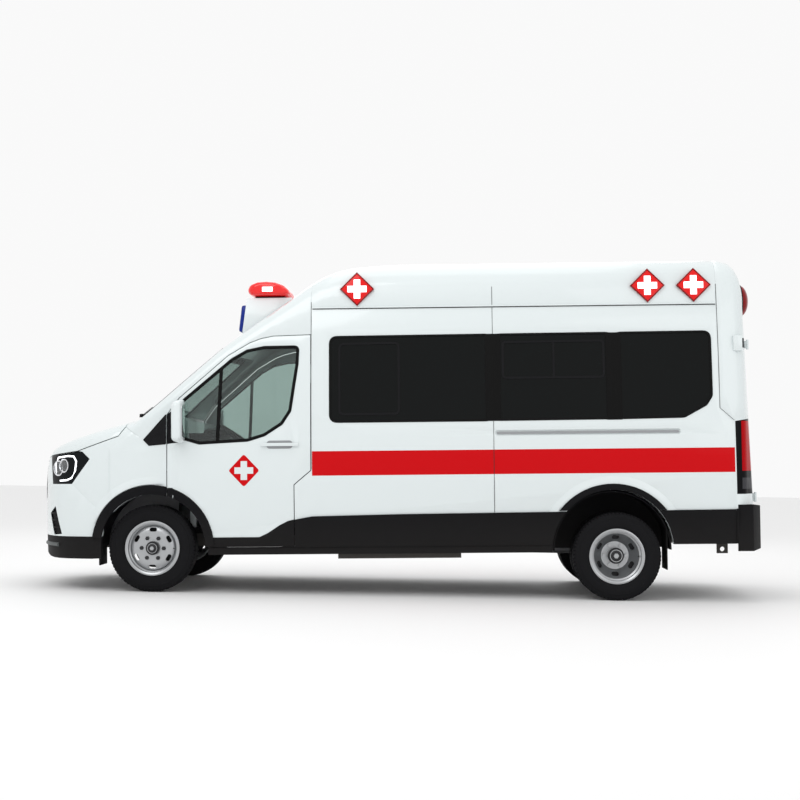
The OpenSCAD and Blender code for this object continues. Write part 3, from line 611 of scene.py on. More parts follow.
class Maker:
    """Gathers geometry for one new piece in body coordinates, in metres."""

    def __init__(self, raked: bool = True) -> None:
        """Starts an empty piece.

        Args:
            raked: True if the piece is pitched with the body.
        """
        self.bm = bmesh.new()
        self.raked = raked

    def box(self, low: Sequence[float], high: Sequence[float], place: Optional[Matrix] = None) -> None:
        """Adds a box.

        Args:
            low: its lowest corner.
            high: its highest corner.
            place: where its frame lies, or None.
        """
        a, b = Vector(low), Vector(high)
        grow = Matrix.Diagonal((*(b - a), 1.0))
        bmesh.ops.create_cube(
            self.bm, size=1.0, matrix=(place or Matrix()) @ Matrix.Translation((a + b) / 2) @ grow
        )

    def sweep(self, loops: Sequence[Sequence[Vector]], closed: bool) -> None:
        """Extrudes a closed wire through loops of points.

        Args:
            loops: loops with the same number of points.
            closed: True if the last loop joins the first, else both ends are capped.
        """
        first = [self.bm.verts.new(p) for p in loops[0]]
        start = [self.bm.edges.new(pair) for pair in zip(first, [*first[1:], first[0]])]
        row, wire = first, start
        for loop in loops[1:]:
            row, wire = self._extrude(row, wire, loop)
        if closed:
            row, wire = self._extrude(row, wire, loops[0])
            bmesh.ops.weld_verts(self.bm, targetmap=dict(zip(row, first)))
        else:
            bmesh.ops.edgeloop_fill(self.bm, edges=start)
            bmesh.ops.edgeloop_fill(self.bm, edges=wire)

    def _extrude(
        self,
        row: Sequence[bmesh.types.BMVert],
        wire: Sequence[bmesh.types.BMEdge],
        loop: Sequence[Vector],
    ) -> tuple[list[bmesh.types.BMVert], list[bmesh.types.BMEdge]]:
        """Extrudes a wire onto the next loop of a sweep.

        Args:
            row: the wire's vertices in order.
            wire: its edges.
            loop: where the new vertices go.

        Returns:
            The new vertices in the same order, and the edges between them.
        """
        made = bmesh.ops.extrude_edge_only(self.bm, edges=wire)["geom"]
        fresh = {v for v in made if isinstance(v, bmesh.types.BMVert)}
        ends = [next(o for o in (e.other_vert(v) for e in v.link_edges) if o in fresh) for v in row]
        for vert, point in zip(ends, loop):
            vert.co = point
        return ends, [e for e in made if isinstance(e, bmesh.types.BMEdge)]

    def band(self, outline: Sequence[Point2], place: Place, section: Sequence[Point2]) -> None:
        """Adds a closed strip that follows an outline.

        Args:
            outline: closed outline on the surface.
            place: map onto the surface.
            section: the strip's section as (outward offset, lift) points.
        """
        line = fine(outline)
        rings = [spread(line, d) for d, _ in section]
        loops = [
            [place(rings[k][i][0], rings[k][i][1], section[k][1]) for k in range(len(section))]
            for i in range(len(line))
        ]
        self.sweep(loops, True)

    def strip(self, start: Point2, end: Point2, half: float, place: Place, low: float, high: float) -> None:
        """Adds an upright strip that follows a curved surface.

        Args:
            start: middle of its lower end.
            end: middle of its upper end.
            half: half its width.
            place: map onto the surface.
            low: lift of its underside.
            high: lift of its top.
        """
        count = 20
        loops = []
        for k in range(count + 1):
            u = start[0] + (end[0] - start[0]) * k / count
            v = start[1] + (end[1] - start[1]) * k / count
            ends = ((u - half, low), (u + half, low), (u + half, high), (u - half, high))
            loops.append([place(x, v, lift) for x, lift in ends])
        self.sweep(loops, False)

    def patch(self, outline: Sequence[Point2], place: Place, low: float, high: float) -> None:
        """Adds a plate that lies on a surface.

        Args:
            outline: its outline on the surface.
            place: map onto the surface.
            low: lift of its underside.
            high: lift of its top.
        """
        bottom = [place(u, v, low) for u, v in outline]
        top = [place(u, v, high) for u, v in outline]
        self.sweep([bottom, top], False)

    def tube(self, points: Sequence[Vector], radius: float, sides: int) -> None:
        """Adds a round bar along points.

        Args:
            points: its centreline.
            radius: its radius.
            sides: sides of its section.
        """
        loops = []
        turns = [k * math.tau / sides for k in range(sides)]
        last = len(points) - 1
        for i, p in enumerate(points):
            along = (points[min(i + 1, last)] - points[max(i - 1, 0)]).normalized()
            upright = Vector((0, 0, 1)) if abs(along.z) < 0.9 else Vector((1, 0, 0))
            across = along.cross(upright).normalized()
            rise = across.cross(along)
            loops.append([p + radius * (math.cos(t) * across + math.sin(t) * rise) for t in turns])
        self.sweep(loops, False)

    def lathe(self, profile: Sequence[Point2], place: Matrix, steps: int = 48) -> None:
        """Adds a turned form.

        Args:
            profile: (radius, height) points.
            place: where its axis, local Z, lies.
            steps: segments round it.
        """
        verts = [self.bm.verts.new((r, 0.0, h)) for r, h in profile]
        edges = [self.bm.edges.new(pair) for pair in zip(verts, verts[1:])]
        before = set(self.bm.verts) - set(verts)
        bmesh.ops.spin(
            self.bm,
            geom=verts + edges,
            cent=(0, 0, 0),
            axis=(0, 0, 1),
            dvec=(0, 0, 0),
            angle=math.tau,
            steps=steps,
            use_merge=True,
            use_duplicate=False,
        )
        new = [v for v in self.bm.verts if v not in before]
        bmesh.ops.remove_doubles(self.bm, verts=new, dist=1e-5)
        new = [v for v in self.bm.verts if v not in before]
        bmesh.ops.transform(self.bm, matrix=place, verts=new)

    def dome(self, place: Matrix, radius: float, height: float, steps: int = 32) -> None:
        """Adds a shallow dome on a short foot.

        Args:
            place: where its axis, local Z, lies.
            radius: its radius.
            height: its height.
            steps: segments round it.
        """
        foot = -0.004
        rise = [i * math.pi / 16 for i in range(8)]
        crown = [(radius * math.cos(a), height * math.sin(a)) for a in rise]
        self.lathe([(0.0, foot), (radius, foot), *crown, (0.0, height)], place, steps)

    def piece(
        self,
        name: str,
        body: str,
        finish: Finish,
        slot: str = "",
        width: float = 0.0,
        angle: float = 40,
    ) -> bpy.types.Object:
        """Ends the piece.

        Args:
            name: its name.
            body: the CAD body it rides on.
            finish: its finish.
            slot: the record's material slot, or an empty string; not used.
            width: width of rounded edges, 0 for none.
            angle: edges sharper than this stay sharp.

        Returns:
            The new object.
        """
        bmesh.ops.recalc_face_normals(self.bm, faces=self.bm.faces[:])
        if width > 0:
            bevel_edges(self.bm, width, 35)
        soften(self.bm, angle)
        if self.raked:
            bmesh.ops.transform(self.bm, matrix=TO_GROUND, verts=self.bm.verts[:])
        mesh = bpy.data.meshes.new(name)
        self.bm.to_mesh(mesh)
        self.bm.free()
        return link(name, mesh, body, finish)


class Skin:
    """Finds points on the outside of the CAD body."""

    def __init__(self, nodes: Sequence[str]) -> None:
        """Collects the nodes' faces.

        Args:
            nodes: names of CAD nodes; those that the frame lacks are left out.
        """
        verts: list[Vector] = []
        faces: list[tuple[int, ...]] = []
        for name in nodes:
            if name not in frame["nodes"]:
                continue
            mesh = frame["nodes"][name].data
            base = len(verts)
            verts.extend(TO_BODY @ v.co for v in mesh.vertices)
            faces.extend(tuple(base + i for i in p.vertices) for p in mesh.polygons)
        self.tree = BVHTree.FromPolygons(verts, faces)

    def hit(self, start: Sequence[float], towards: Sequence[float]) -> tuple[Vector, Vector]:
        """Casts a ray.

        Args:
            start: where it starts, in body coordinates.
            towards: its direction.

        Returns:
            The point and the outward normal, or the start and the reversed direction if nothing is hit.
        """
        place, normal, _, _ = self.tree.ray_cast(Vector(start), Vector(towards))
        if place is None:
            return Vector(start), -Vector(towards).normalized()
        if normal.dot(Vector(towards)) > 0:
            normal = -normal
        return place, normal

    def front(self) -> Place:
        """Gives the map from the front view onto the nose.

        Returns:
            A function of y, z and lift.
        """

        def place(y: float, z: float, lift: float) -> Vector:
            """Casts a ray rearwards from far ahead of the nose."""
            point, _ = self.hit((-5.0, y, z), (1, 0, 0))
            return point - Vector((lift, 0, 0))

        return place

    def flank(self, side: Side) -> Place:
        """Gives the map from the side view onto the nose's flank.

        Args:
            side: which flank.

        Returns:
            A function of x, z and lift.
        """

        def place(x: float, z: float, lift: float) -> Vector:
            """Casts a ray inwards from far beside the flank."""
            point, normal = self.hit((x, side.value * 3.0, z), (0, -side.value, 0))
            return point + normal * lift

        return place


def frame_on(point: Vector, normal: Vector) -> Matrix:
    """Makes a frame whose Z lies along a normal.

    Args:
        point: its origin.
        normal: its Z direction.

    Returns:
        The frame.
    """
    turn = normal.to_track_quat("Z", "Y").to_matrix().to_4x4()
    return Matrix.Translation(point) @ turn


@dataclass
class Panels:
    """The painted outer panels and the plain CAD nodes."""

    edge: float = 0.0025
    white: tuple[str, ...] = (
        "cab_shell",
        "roof",
        "wings",
        "front_bumper",
        "hood",
        "rear_door_left",
        "rear_door_right",
        "light_pod",
        "mirror_left",
        "mirror_right",
    )
    striped: tuple[str, ...] = ("side_left", "side_right", "sliding_door", "rear_frame")
    black: tuple[str, ...] = ("cladding", "rear_bumper", "vents", "lower_bumper", "wheel_liners", "grille")
    chassis: tuple[str, ...] = ("chassis", "front_axle", "rear_axle", "fuel_tank")
    metal: tuple[str, ...] = ("driveline", "engine", "knuckle_left", "knuckle_right")

    def build(self) -> None:
        """Dresses the panels and paints the plain nodes."""
        for name in self.white:
            smooth_copy(name, WHITE, self.edge)
        for name in self.striped:
            smooth_copy(name, STRIPED, self.edge)
        for name in ("door_left", "door_right"):
            smooth_copy(name, DOOR_PAINT, self.edge)
        for name in self.black:
            smooth_copy(name, BLACK, 0.002)
        for name in self.chassis:
            smooth_copy(name, CHASSIS, 0.0)
        for name in self.metal:
            smooth_copy(name, CASTING, 0.0)
        smooth_copy("floor_pan", BLACK, 0.0)
        smooth_copy("partition", LINING, 0.0)
        smooth_copy("dashboard", DASH, 0.006)
        smooth_copy("steering_wheel", DASH, 0.0)
        smooth_copy("headlamps", SMOKED, 0.002)
        smooth_copy("tail_lamps", TAIL_LENS, 0.002)


@dataclass
class Glazing:
    """Glass, rubber seals, pane frames and wipers."""

    corner: float = 0.055
    seal_out: float = 0.012
    seal_in: float = 0.006
    seal_foot: float = -0.006
    bar_half: float = 0.009
    wiper_feet: tuple[float, ...] = (-0.56, 0.16)
    side_panes: tuple[tuple[Point2, ...], ...] = (
        ((FA + 1.457, 1.412), (FA + 1.457, 2.095), (RA - 0.988, 2.1), (RA - 0.988, 1.412)),
        ((RA - 0.972, 1.414), (RA - 0.972, 2.1), (RA - 0.018, 2.103), (RA - 0.018, 1.418)),
        (
            (RA - 0.002, 1.418),
            (RA - 0.002, 2.103),
            (RA + 0.765, 2.106),
            (RA + 0.765, 1.59),
            (RA + 0.72, 1.52),
            (RA + 0.544, 1.425),
        ),
    )
    door_pane: tuple[Point2, ...] = (
        (FA + 0.255, 1.291),
        (FA + 0.24, 1.57),
        (FA + 0.66, 1.922),
        (FA + 0.78, 1.99),
        (FA + 0.92, 2.018),
        (FA + 1.192, 2.02),
        (FA + 1.185, 1.88),
        (FA + 1.127, 1.501),
        (FA + 1.06, 1.4),
        (FA + 0.92, 1.31),
        (FA + 0.786, 1.269),
        (FA + 0.395, 1.249),
    )
    screen: tuple[Point2, ...] = ((-0.85, 1.49), (0.85, 1.49), (0.735, 2.028), (-0.735, 2.028))
    rear_pane: tuple[Point2, ...] = ((0.7, 1.43), (0.11, 1.43), (0.11, 2.08), (0.67, 2.08))

    def build(self) -> None:
        """Builds all of it."""
        for name in ("side_windows", "rear_glass_left", "rear_glass_right"):
            smooth_copy(name, TINTED, 0.0, 12)
        for name in ("windscreen", "door_glass_left", "door_glass_right"):
            smooth_copy(name, CLEAR, 0.0, 12)
        for side in Side:
            self._sides(side)
            self._door(side)
            self._rear(side)
        self._screen()
        self._wipers()

    def _sides(self, side: Side) -> None:
        """Builds the seals and pane frames of one flank.

        Args:
            side: which flank.
        """
        place = side_place(side)
        seals = Maker()
        section = self._seal(self.seal_in, 0.001, self.seal_out)
        for pane in self.side_panes:
            seals.band(rounded(pane, self.corner), place, section)
        for x in (RA - 0.98, RA - 0.01):
            seals.strip((x, 1.403), (x, 2.11), self.corner + 0.006, place, -0.003, 0.0014)
        seals.piece("window_seals_" + side.word, "body", SEAL, "black_plastic", 0.0012)
        bars = Maker()
        half, low, high = self.bar_half, -0.003, 0.001
        thin = ((-half, low), (-half, high), (half, high), (half, low))
        first = ((FA + 1.53, 1.47), (FA + 1.53, 2.04), (FA + 2.01, 2.045), (FA + 2.01, 1.47))
        bars.band(rounded(first, 0.04), place, thin)
        second = ((RA - 0.9, 1.75), (RA - 0.9, 2.04), (RA - 0.09, 2.045), (RA - 0.09, 1.75))
        bars.band(rounded(second, 0.03), place, thin)
        bars.strip((RA - 0.491, 1.75), (RA - 0.491, 2.04), half, place, low, 0.0)
        bars.piece("pane_frames_" + side.word, "body", GLOSS_BLACK, "black_plastic")

    def _seal(self, inner: float, inner_lift: float, outer: float) -> tuple[Point2, ...]:
        """Gives the section of a rubber seal.

        Args:
            inner: how far it reaches over the glass.
            inner_lift: its height there.
            outer: how far it reaches over the panel.

        Returns:
            The section as (outward offset, lift) points.
        """
        foot = self.seal_foot
        return ((-inner, foot), (-inner, inner_lift), (outer, 0.002), (outer, foot))

    def _door(self, side: Side) -> None:
        """Builds the seal and divider of a front door window.

        Args:
            side: which door.
        """
        place = side_place(side)
        seal = Maker()
        seal.band(rounded(self.door_pane, 0.03), place, self._seal(0.012, 0.0, 0.014))
        seal.strip((FA + 0.542, 1.258), (FA + 0.572, 1.85), 0.014, place, self.seal_foot, 0.001)
        seal.piece("door_window_seal_" + side.word, "door_" + side.word, SEAL, "black_plastic", 0.001)

    def _rear(self, side: Side) -> None:
        """Builds the seal of a rear door window.

        Args:
            side: which door.
        """
        seal = Maker()
        seal.band(rounded(self.rear_pane, 0.045), tail_place(side), self._seal(0.01, 0.001, 0.02))
        seal.piece("rear_window_seal_" + side.word, "rear_door_" + side.word, SEAL, "black_plastic", 0.001)

    def _screen(self) -> None:
        """Builds the windscreen's black border."""
        border = Maker()
        border.band(rounded(self.screen, 0.06), screen_place, self._seal(0.035, -0.002, 0.01))
        border.piece("windscreen_border", "body", SEAL, "black_plastic")

    def _wipers(self) -> None:
        """Builds the wipers."""
        arms = Maker()
        cap = ((0.0, -0.01), (0.022, -0.01), (0.02, 0.018), (0.0, 0.022))
        for y in self.wiper_feet:
            foot = screen_place(y, 1.475, 0.012)
            elbow = screen_place(y + 0.28, 1.54, 0.03)
            tip = screen_place(y + 0.52, 1.56, 0.018)
            arms.tube([foot, elbow, tip], 0.008, 8)
            arms.lathe(cap, Matrix.Translation(foot), 16)
            blade = [screen_place(y + 0.1 + 0.62 * k / 12, 1.545 + 0.0012 * k, 0.007) for k in range(13)]
            arms.tube(blade, 0.007, 6)
        arms.piece("wipers", "body", GLOSS_BLACK, "black_plastic")


@dataclass
class SideTrim:
    """Trim of the flanks: corner triangles, gutters, arch lips, rails, door furniture and marks."""

    gutter_z: float = 2.34
    gutter_ends: Point2 = (FA + 1.31, RA + 0.82)
    lip: float = 0.012
    seam: float = 0.004
    front_arch: float = 0.425
    front_centre: Point2 = (FA + 0.009, 0.413)
    rear_arch: float = 0.485
    rear_centre: Point2 = (RA - 0.036, 0.357)
    corner: tuple[Point2, ...] = (
        (FA - 0.062, 1.278),
        (FA - 0.014, 1.229),
        (FA + 0.127, 1.24),
        (FA + 0.127, 1.48),
        (FA + 0.12, 1.482),
    )
    sail: tuple[Point2, ...] = (
        (FA + 0.1345, 1.243),
        (FA + 0.262, 1.258),
        (FA + 0.236, 1.56),
        (FA + 0.1345, 1.484),
    )
    apron_foot: float = 0.4085
    apron_edge: tuple[Point2, ...] = (
        (FA + 0.436, 0.486),
        (FA + 0.877, 0.487),
        (FA + 0.946, 0.519),
        (FA + 1.044, 0.583),
        (FA + 1.109, 0.615),
        (FA + 1.158, 0.626),
    )

    def build(self) -> None:
        """Builds the trim of both flanks."""
        for side in Side:
            place = side_place(side)
            self._triangle(side, place)
            self._gutter(side, place)
            self._arches(side, place)
            self._rail(side, place)
            self._door(side, place)
            self._seams(side, place)
        self._marks(Side.LEFT, side_place(Side.LEFT))

    def _seams(self, side: Side, place: Place) -> None:
        """Builds the thin dark lines where the flank's panels meet.

        Args:
            side: which flank.
            place: map onto it.
        """
        lines = Maker()
        half, low, high = self.seam / 2, -0.001, 0.0007
        upper, lower = (RA + 0.83, 1.49), (RA + 0.942, 1.39)
        for x, bottom, top in ((FA + 1.3, 1.03, 2.39), (RA - 0.98, 0.41, 2.5), (*upper, 2.5)):
            lines.strip((x, bottom), (x, top), half, place, low, high)
        slant = (
            (upper[0] - half, upper[1]),
            (lower[0] - half, lower[1]),
            (lower[0] + half, lower[1]),
            (upper[0] + half, upper[1]),
        )
        lines.patch(slant, place, low, high)
        lines.piece("panel_lines_" + side.word, "body", SEAM, "")

    def _triangle(self, side: Side, place: Place) -> None:
        """Builds the black corner ahead of a door.

        Args:
            side: which flank.
            place: map onto it.
        """
        plate = Maker()
        plate.patch(rounded(self.corner, 0.008), place, -0.002, 0.003)
        plate.piece("corner_trim_" + side.word, "body", GLOSS_BLACK, "black_plastic", 0.001)

    def _gutter(self, side: Side, place: Place) -> None:
        """Builds the drip rail along the roof joint, and the dark line under it.

        Args:
            side: which flank.
            place: map onto it.
        """
        rail = Maker()
        start, end = self.gutter_ends
        steps = 30
        points = [place(start + (end - start) * k / steps, self.gutter_z, 0.002) for k in range(steps + 1)]
        rail.tube(points, 0.0065, 8)
        rail.piece("drip_rail_" + side.word, "body", WHITE, "body_paint")
        shade = Maker()
        under = [p - Vector((0, 0, 0.0085)) for p in points]
        shade.tube(under, 0.0042, 6)
        shade.piece("drip_shadow_" + side.word, "body", SEAM, "")

    def _arches(self, side: Side, place: Place) -> None:
        """Builds the soft white lips above the black arches, and the joint of the rear bumper.

        Args:
            side: which flank.
            place: map onto it.
        """
        rear = Maker()
        self._lip(rear, arc(self.rear_centre, self.rear_arch + 0.068, 28, 124, 48), place)
        rear.piece("rear_arch_lip_" + side.word, "body", WHITE, "body_paint", 0, 60)
        joint = Maker()
        joint.strip((RA + 0.957, 0.407), (RA + 0.957, 0.684), 0.008, place, -0.004, 0.008)
        joint.piece("bumper_joint_" + side.word, "body", BLACK, "black_plastic")
        front = Maker()
        nose = Skin(["wings", "front_bumper"]).flank(side)
        self._lip(front, arc(self.front_centre, self.front_arch + 0.1, 80, 78, 32), nose)
        front.piece("front_arch_lip_" + side.word, "body", WHITE, "body_paint", 0, 60)

    def _lip(self, maker: Maker, points: Sequence[Point2], place: Place) -> None:
        """Adds a raised, tapered bead along points.

        Args:
            maker: where to add it.
            points: its line on the flank.
            place: map onto the flank.
        """
        loops = []
        count = len(points)
        for i, p in enumerate(points):
            fade = math.sin(math.pi * i / (count - 1)) ** 0.5 if 0 < i < count - 1 else 0.02
            a = Vector(points[min(i + 1, count - 1)]) - Vector(points[max(i - 1, 0)])
            n = Vector((a.y, -a.x)).normalized()
            section = (
                (-0.026, -0.004),
                (-0.02, self.lip * fade),
                (0.0, self.lip * 0.9 * fade),
                (0.045, -0.001),
                (0.045, -0.004),
            )
            loops.append([place(p[0] + n.x * d, p[1] + n.y * d, h) for d, h in section])
        maker.sweep(loops, False)

    def _rail(self, side: Side, place: Place) -> None:
        """Builds the grey rail in the slot below the windows.

        Args:
            side: which flank.
            place: map onto it.
        """
        rail = Maker()
        outline = ((RA - 0.955, 1.296), (RA + 0.5, 1.296), (RA + 0.5, 1.316), (RA - 0.955, 1.316))
        rail.patch(rounded(outline, 0.008), place, -0.0115, -0.004)
        rail.piece("door_rail_" + side.word, "body", GREY_TRIM_AND_SHADE, "black_plastic")

    def _door(self, side: Side, place: Place) -> None:
        """Builds the furniture of a front door.

        Args:
            side: which door.
            place: map onto the flank.
        """
        body = "door_" + side.word
        self._apron(side, place)
        # The handle cup is body paint; its grey plate is painted shade standing for the recess round the
        # grip.
        cup = Maker()
        outline = ((FA + 0.94, 1.196), (FA + 1.15, 1.196), (FA + 1.15, 1.262), (FA + 0.94, 1.262))
        cup.patch(rounded(outline, 0.03), place, -0.002, 0.0012)
        cup.piece("handle_cup_" + side.word, body, GREY_TRIM_AND_SHADE, "body_paint")
        glass = Maker()
        y = side.value
        glass.patch(
            rounded(((1.075, 1.285), (1.075, 1.565), (1.205, 1.545), (1.2, 1.3)), 0.03),
            lambda u, v, lift: Vector((FA + 0.284 + lift, y * u, v)),
            -0.001,
            0.003,
        )
        glass.piece("mirror_pane_" + side.word, body, MIRROR, "", 0.001)
        arm = Maker()
        low, high = sorted((y * 1.0, y * 1.06))
        arm.box((FA + 0.206, low, 1.262), (FA + 0.272, high, 1.28))
        arm.piece("mirror_foot_" + side.word, body, BLACK, "black_plastic", 0.006)

    def _apron(self, side: Side, place: Place) -> None:
        """Builds the black mirror sail, arch lip and lower band of a front door.

        Args:
            side: which door.
            place: map onto the flank.
        """
        trim = Maker()
        skin = Skin(["door_" + side.word]).flank(side)

        def on(x: float, z: float, lift: float) -> Vector:
            """Gives the point on the door, or on the flank's formula where the ray misses the door."""
            point = skin(x, z, lift)
            return point if abs(point.y) < 1.2 else place(x, z, lift)

        def proud(x: float) -> float:
            """Gives the arch lip's height, which fades out towards the door's front edge."""
            return 0.003 + 0.012 * min(1.0, max(0.0, (x - FA - 0.137) / 0.1))

        sunk = -0.004
        trim.patch(fine(rounded(self.sail, 0.004)), on, -0.002, 0.0018)
        inner = arc(self.front_centre, self.front_arch + 0.003, -0.3, 73.0, 36)
        outer = arc(self.front_centre, self.front_arch + 0.075, -0.3, 75.6, 36)
        ring = [
            [on(*a, sunk), on(*a, 0.5 * proud(a[0])), on(*b, proud(b[0])), on(*b, sunk)]
            for a, b in zip(inner, outer)
        ]
        trim.sweep(ring, False)
        steps = 6
        top: list[Point2] = []
        for (xa, za), (xb, zb) in zip(self.apron_edge, self.apron_edge[1:]):
            top.extend((xa + (xb - xa) * k / steps, za + (zb - za) * k / steps) for k in range(steps))
        top.append(self.apron_edge[-1])
        foot = self.apron_foot
        band = [[on(x, foot, sunk), on(x, z, sunk), on(x, z, 0.006), on(x, foot, 0.01)] for x, z in top]
        trim.sweep(band, False)
        trim.piece("door_apron_" + side.word, "door_" + side.word, BLACK, "black_plastic", 0.001)

    def _marks(self, side: Side, place: Place) -> None:
        """Builds the plain mark on a door.

        Args:
            side: which flank.
            place: map onto it.
        """
        mark = Maker()
        x, z, r = FA + 0.756, 1.023, 0.125
        diamond = ((x - r, z), (x, z - 1.06 * r), (x + r, z), (x, z + 1.06 * r))
        mark.patch(rounded(diamond, 0.02), place, -0.002, 0.0006)
        mark.piece("door_mark_" + side.word, "door_" + side.word, RED_PAINT, "")
        plus = Maker()
        for w, h in ((0.076, 0.026), (0.026, 0.076)):
            bar = ((x - w, z - h), (x + w, z - h), (x + w, z + h), (x - w, z + h))
            plus.patch(bar, place, -0.001, 0.0012)
        plus.piece("door_mark_plus_" + side.word, "door_" + side.word, WHITE, "")


@dataclass
class FrontEnd:
    """Nose: lamps, grille strip and lower lip."""

    skin: Skin = field(
        default_factory=lambda: Skin(
            ["front_bumper", "hood", "headlamps", "wings", "grille", "lower_bumper"],
        )
    )
    lip_half: float = 0.8
    strip_half: float = 0.54
    across: int = 40
    projectors: tuple[tuple[float, float, float], ...] = (
        (FA - 0.77, 1.055, 0.052),
        (FA - 0.68, 1.075, 0.045),
    )
    day_line: tuple[Point2, ...] = (
        (FA - 0.81, 1.02),
        (FA - 0.815, 1.1),
        (FA - 0.795, 1.142),
        (FA - 0.7, 1.154),
        (FA - 0.645, 1.15),
        (FA - 0.622, 1.11),
        (FA - 0.632, 1.03),
        (FA - 0.665, 0.975),
        (FA - 0.71, 0.957),
        (FA - 0.775, 0.953),
    )

    def build(self) -> None:
        """Builds the nose."""
        for side in Side:
            self._lamp(side)
        self._lip()
        self._grille()

    def _lamp(self, side: Side) -> None:
        """Builds projectors, their bezels and the light strip of a headlamp.

        Args:
            side: which lamp.
        """
        s = side.value
        bezels = Maker()
        domes = Maker()
        for x, z, r in self.projectors:
            point, normal = self.skin.hit((x - 1.2, s * 2.4, z), (1.2, -s * 1.6, 0.0))
            place = frame_on(point, normal)
            rim = r + 0.012
            ring = ((rim, -0.006), (rim, 0.004), (r + 0.006, 0.008), (r, 0.004), (r, -0.006))
            bezels.lathe(ring, place, 32)
            domes.dome(place, r, 0.012)
        bezels.piece("lamp_bezels_" + side.word, "body", CHROME, "lamp_clear")
        domes.piece("lamp_projectors_" + side.word, "body", LENS, "lamp_clear")
        strip = Maker()
        flank = self.skin.flank(side)
        strip.tube([flank(x, z, 0.002) for x, z in self.day_line], 0.007, 8)
        strip.piece("day_light_" + side.word, "body", DAYLIGHT, "lamp_clear")

    def _lip(self) -> None:
        """Builds the grey lip across the lower bumper."""
        lip = Maker()
        lip.tube(self._line(self.lip_half, 0.43, 0.0), 0.016, 8)
        lip.piece("bumper_lip", "body", SLATE, "black_plastic")

    def _grille(self) -> None:
        """Builds the bright strip over the grille."""
        strip = Maker()
        strip.tube(self._line(self.strip_half, 1.116, 0.001), 0.009, 8)
        strip.piece("grille_strip", "body", CHROME, "")

    def _line(self, half: float, z: float, lift: float) -> list[Vector]:
        """Gives a level line across the nose.

        Args:
            half: half its width.
            z: its height.
            lift: distance outside the skin.

        Returns:
            Its points from left to right.
        """
        place = self.skin.front()
        return [place(-half + 2 * half * k / self.across, z, lift) for k in range(self.across + 1)]


@dataclass
class RearEnd:
    """Rear doors' furniture and step."""

    hinge_heights: tuple[float, ...] = (0.77, 2.01)
    hinge_y: float = 0.797
    hinge_lift: float = 0.025
    leaf_half: float = 0.03
    sensor_places: tuple[float, ...] = (-0.42, -0.15, 0.15, 0.42)
    step_ribs: int = 9

    def build(self) -> None:
        """Builds the tail."""
        for side in Side:
            self._hinges(side)
            self._handle(side)
        self._step()
        self._stop_lamp()

    def _stop_lamp(self) -> None:
        """Builds the high stop lamp and the sensors on the bumper."""
        lamp = Maker()
        a = rear_place(0.0, 2.285, 0.0)
        lamp.box((a.x - 0.004, -0.16, 2.27), (a.x + 0.014, 0.16, 2.3))
        lamp.piece("high_stop_lamp", "body", RED_LENS, "lamp_red", 0.005)
        dots = Maker()
        rearwards = Matrix.Rotation(math.radians(90), 4, "Y")
        for y in self.sensor_places:
            dots.dome(Matrix.Translation((RA + 1.207, y, 0.56)) @ rearwards, 0.013, 0.002, 20)
        dots.piece("bumper_sensors", "body", GREY_TRIM_AND_SHADE, "black_plastic")

    def _hinges(self, side: Side) -> None:
        """Builds the hinges of a rear door on its hinge line, and the cover beside the upper one.

        Args:
            side: which door.
        """
        s = side.value
        body = "rear_door_" + side.word
        barrel = Maker()
        straps = Maker()
        half = self.leaf_half
        barrel_half = Vector((0, 0, 0.04))
        for z in self.hinge_heights:
            point = rear_place(s * self.hinge_y, z, self.hinge_lift)
            barrel.tube([point - barrel_half, point + barrel_half], 0.011, 14)
            low, high = sorted((s * 0.68, s * 0.786))
            foot = point.x - self.hinge_lift - 0.003
            straps.box((foot, low, z - half), (point.x - 0.013, high, z + half))
            low, high = sorted((s * 0.772, s * self.hinge_y))
            straps.box((point.x - 0.02, low, z - half), (point.x + 0.006, high, z + half))
        barrel.piece("rear_hinge_barrels_" + side.word, body, WHITE, "body_paint")
        cover = Maker()
        skin = side_y(self.hinge_heights[-1])
        low, high = sorted((s * (skin - 0.03), s * (skin + 0.016)))
        cover.box((RA + 0.952, low, 1.948), (RA + 1.03, high, 2.074))
        cover.piece("hinge_cover_" + side.word, "body", WHITE, "body_paint", 0.01)
        slot = Maker()
        slot.box((RA + 1.022, low, 1.972), (RA + 1.036, high, 2.05))
        slot.piece("hinge_slot_" + side.word, "body", BLACK, "black_plastic", 0.004)
        straps.piece("rear_hinge_straps_" + side.word, body, WHITE, "body_paint", 0.003)

    def _handle(self, side: Side) -> None:
        """Builds the reflector of a rear door, and the handle of the left one.

        Args:
            side: which door.
        """
        s = side.value
        body = "rear_door_" + side.word
        if side is Side.LEFT:
            bar = Maker()
            x = rear_place(s * 0.06, 1.2, 0.0).x
            low, high = sorted((s * 0.04, s * 0.09))
            bar.box((x - 0.002, low, 1.1), (x + 0.018, high, 1.32))
            bar.piece("rear_handle", body, BLACK, "black_plastic", 0.006)
        mark = Maker()
        outline = ((0.2, 0.86), (0.6, 0.86), (0.6, 0.89), (0.2, 0.89))
        mark.patch(rounded(outline, 0.01), tail_place(side), -0.002, 0.004)
        mark.piece("rear_reflector_" + side.word, body, RED_LENS, "lamp_red")

    def _step(self) -> None:
        """Builds the tread ribs on the rear step."""
        ribs = Maker()
        for k in range(self.step_ribs):
            x = RA + 1.13 + 0.008 * k
            ribs.box((x, -0.52, 0.688), (x + 0.003, 0.52, 0.693))
        ribs.piece("step_ribs", "body", BLACK, "black_plastic")


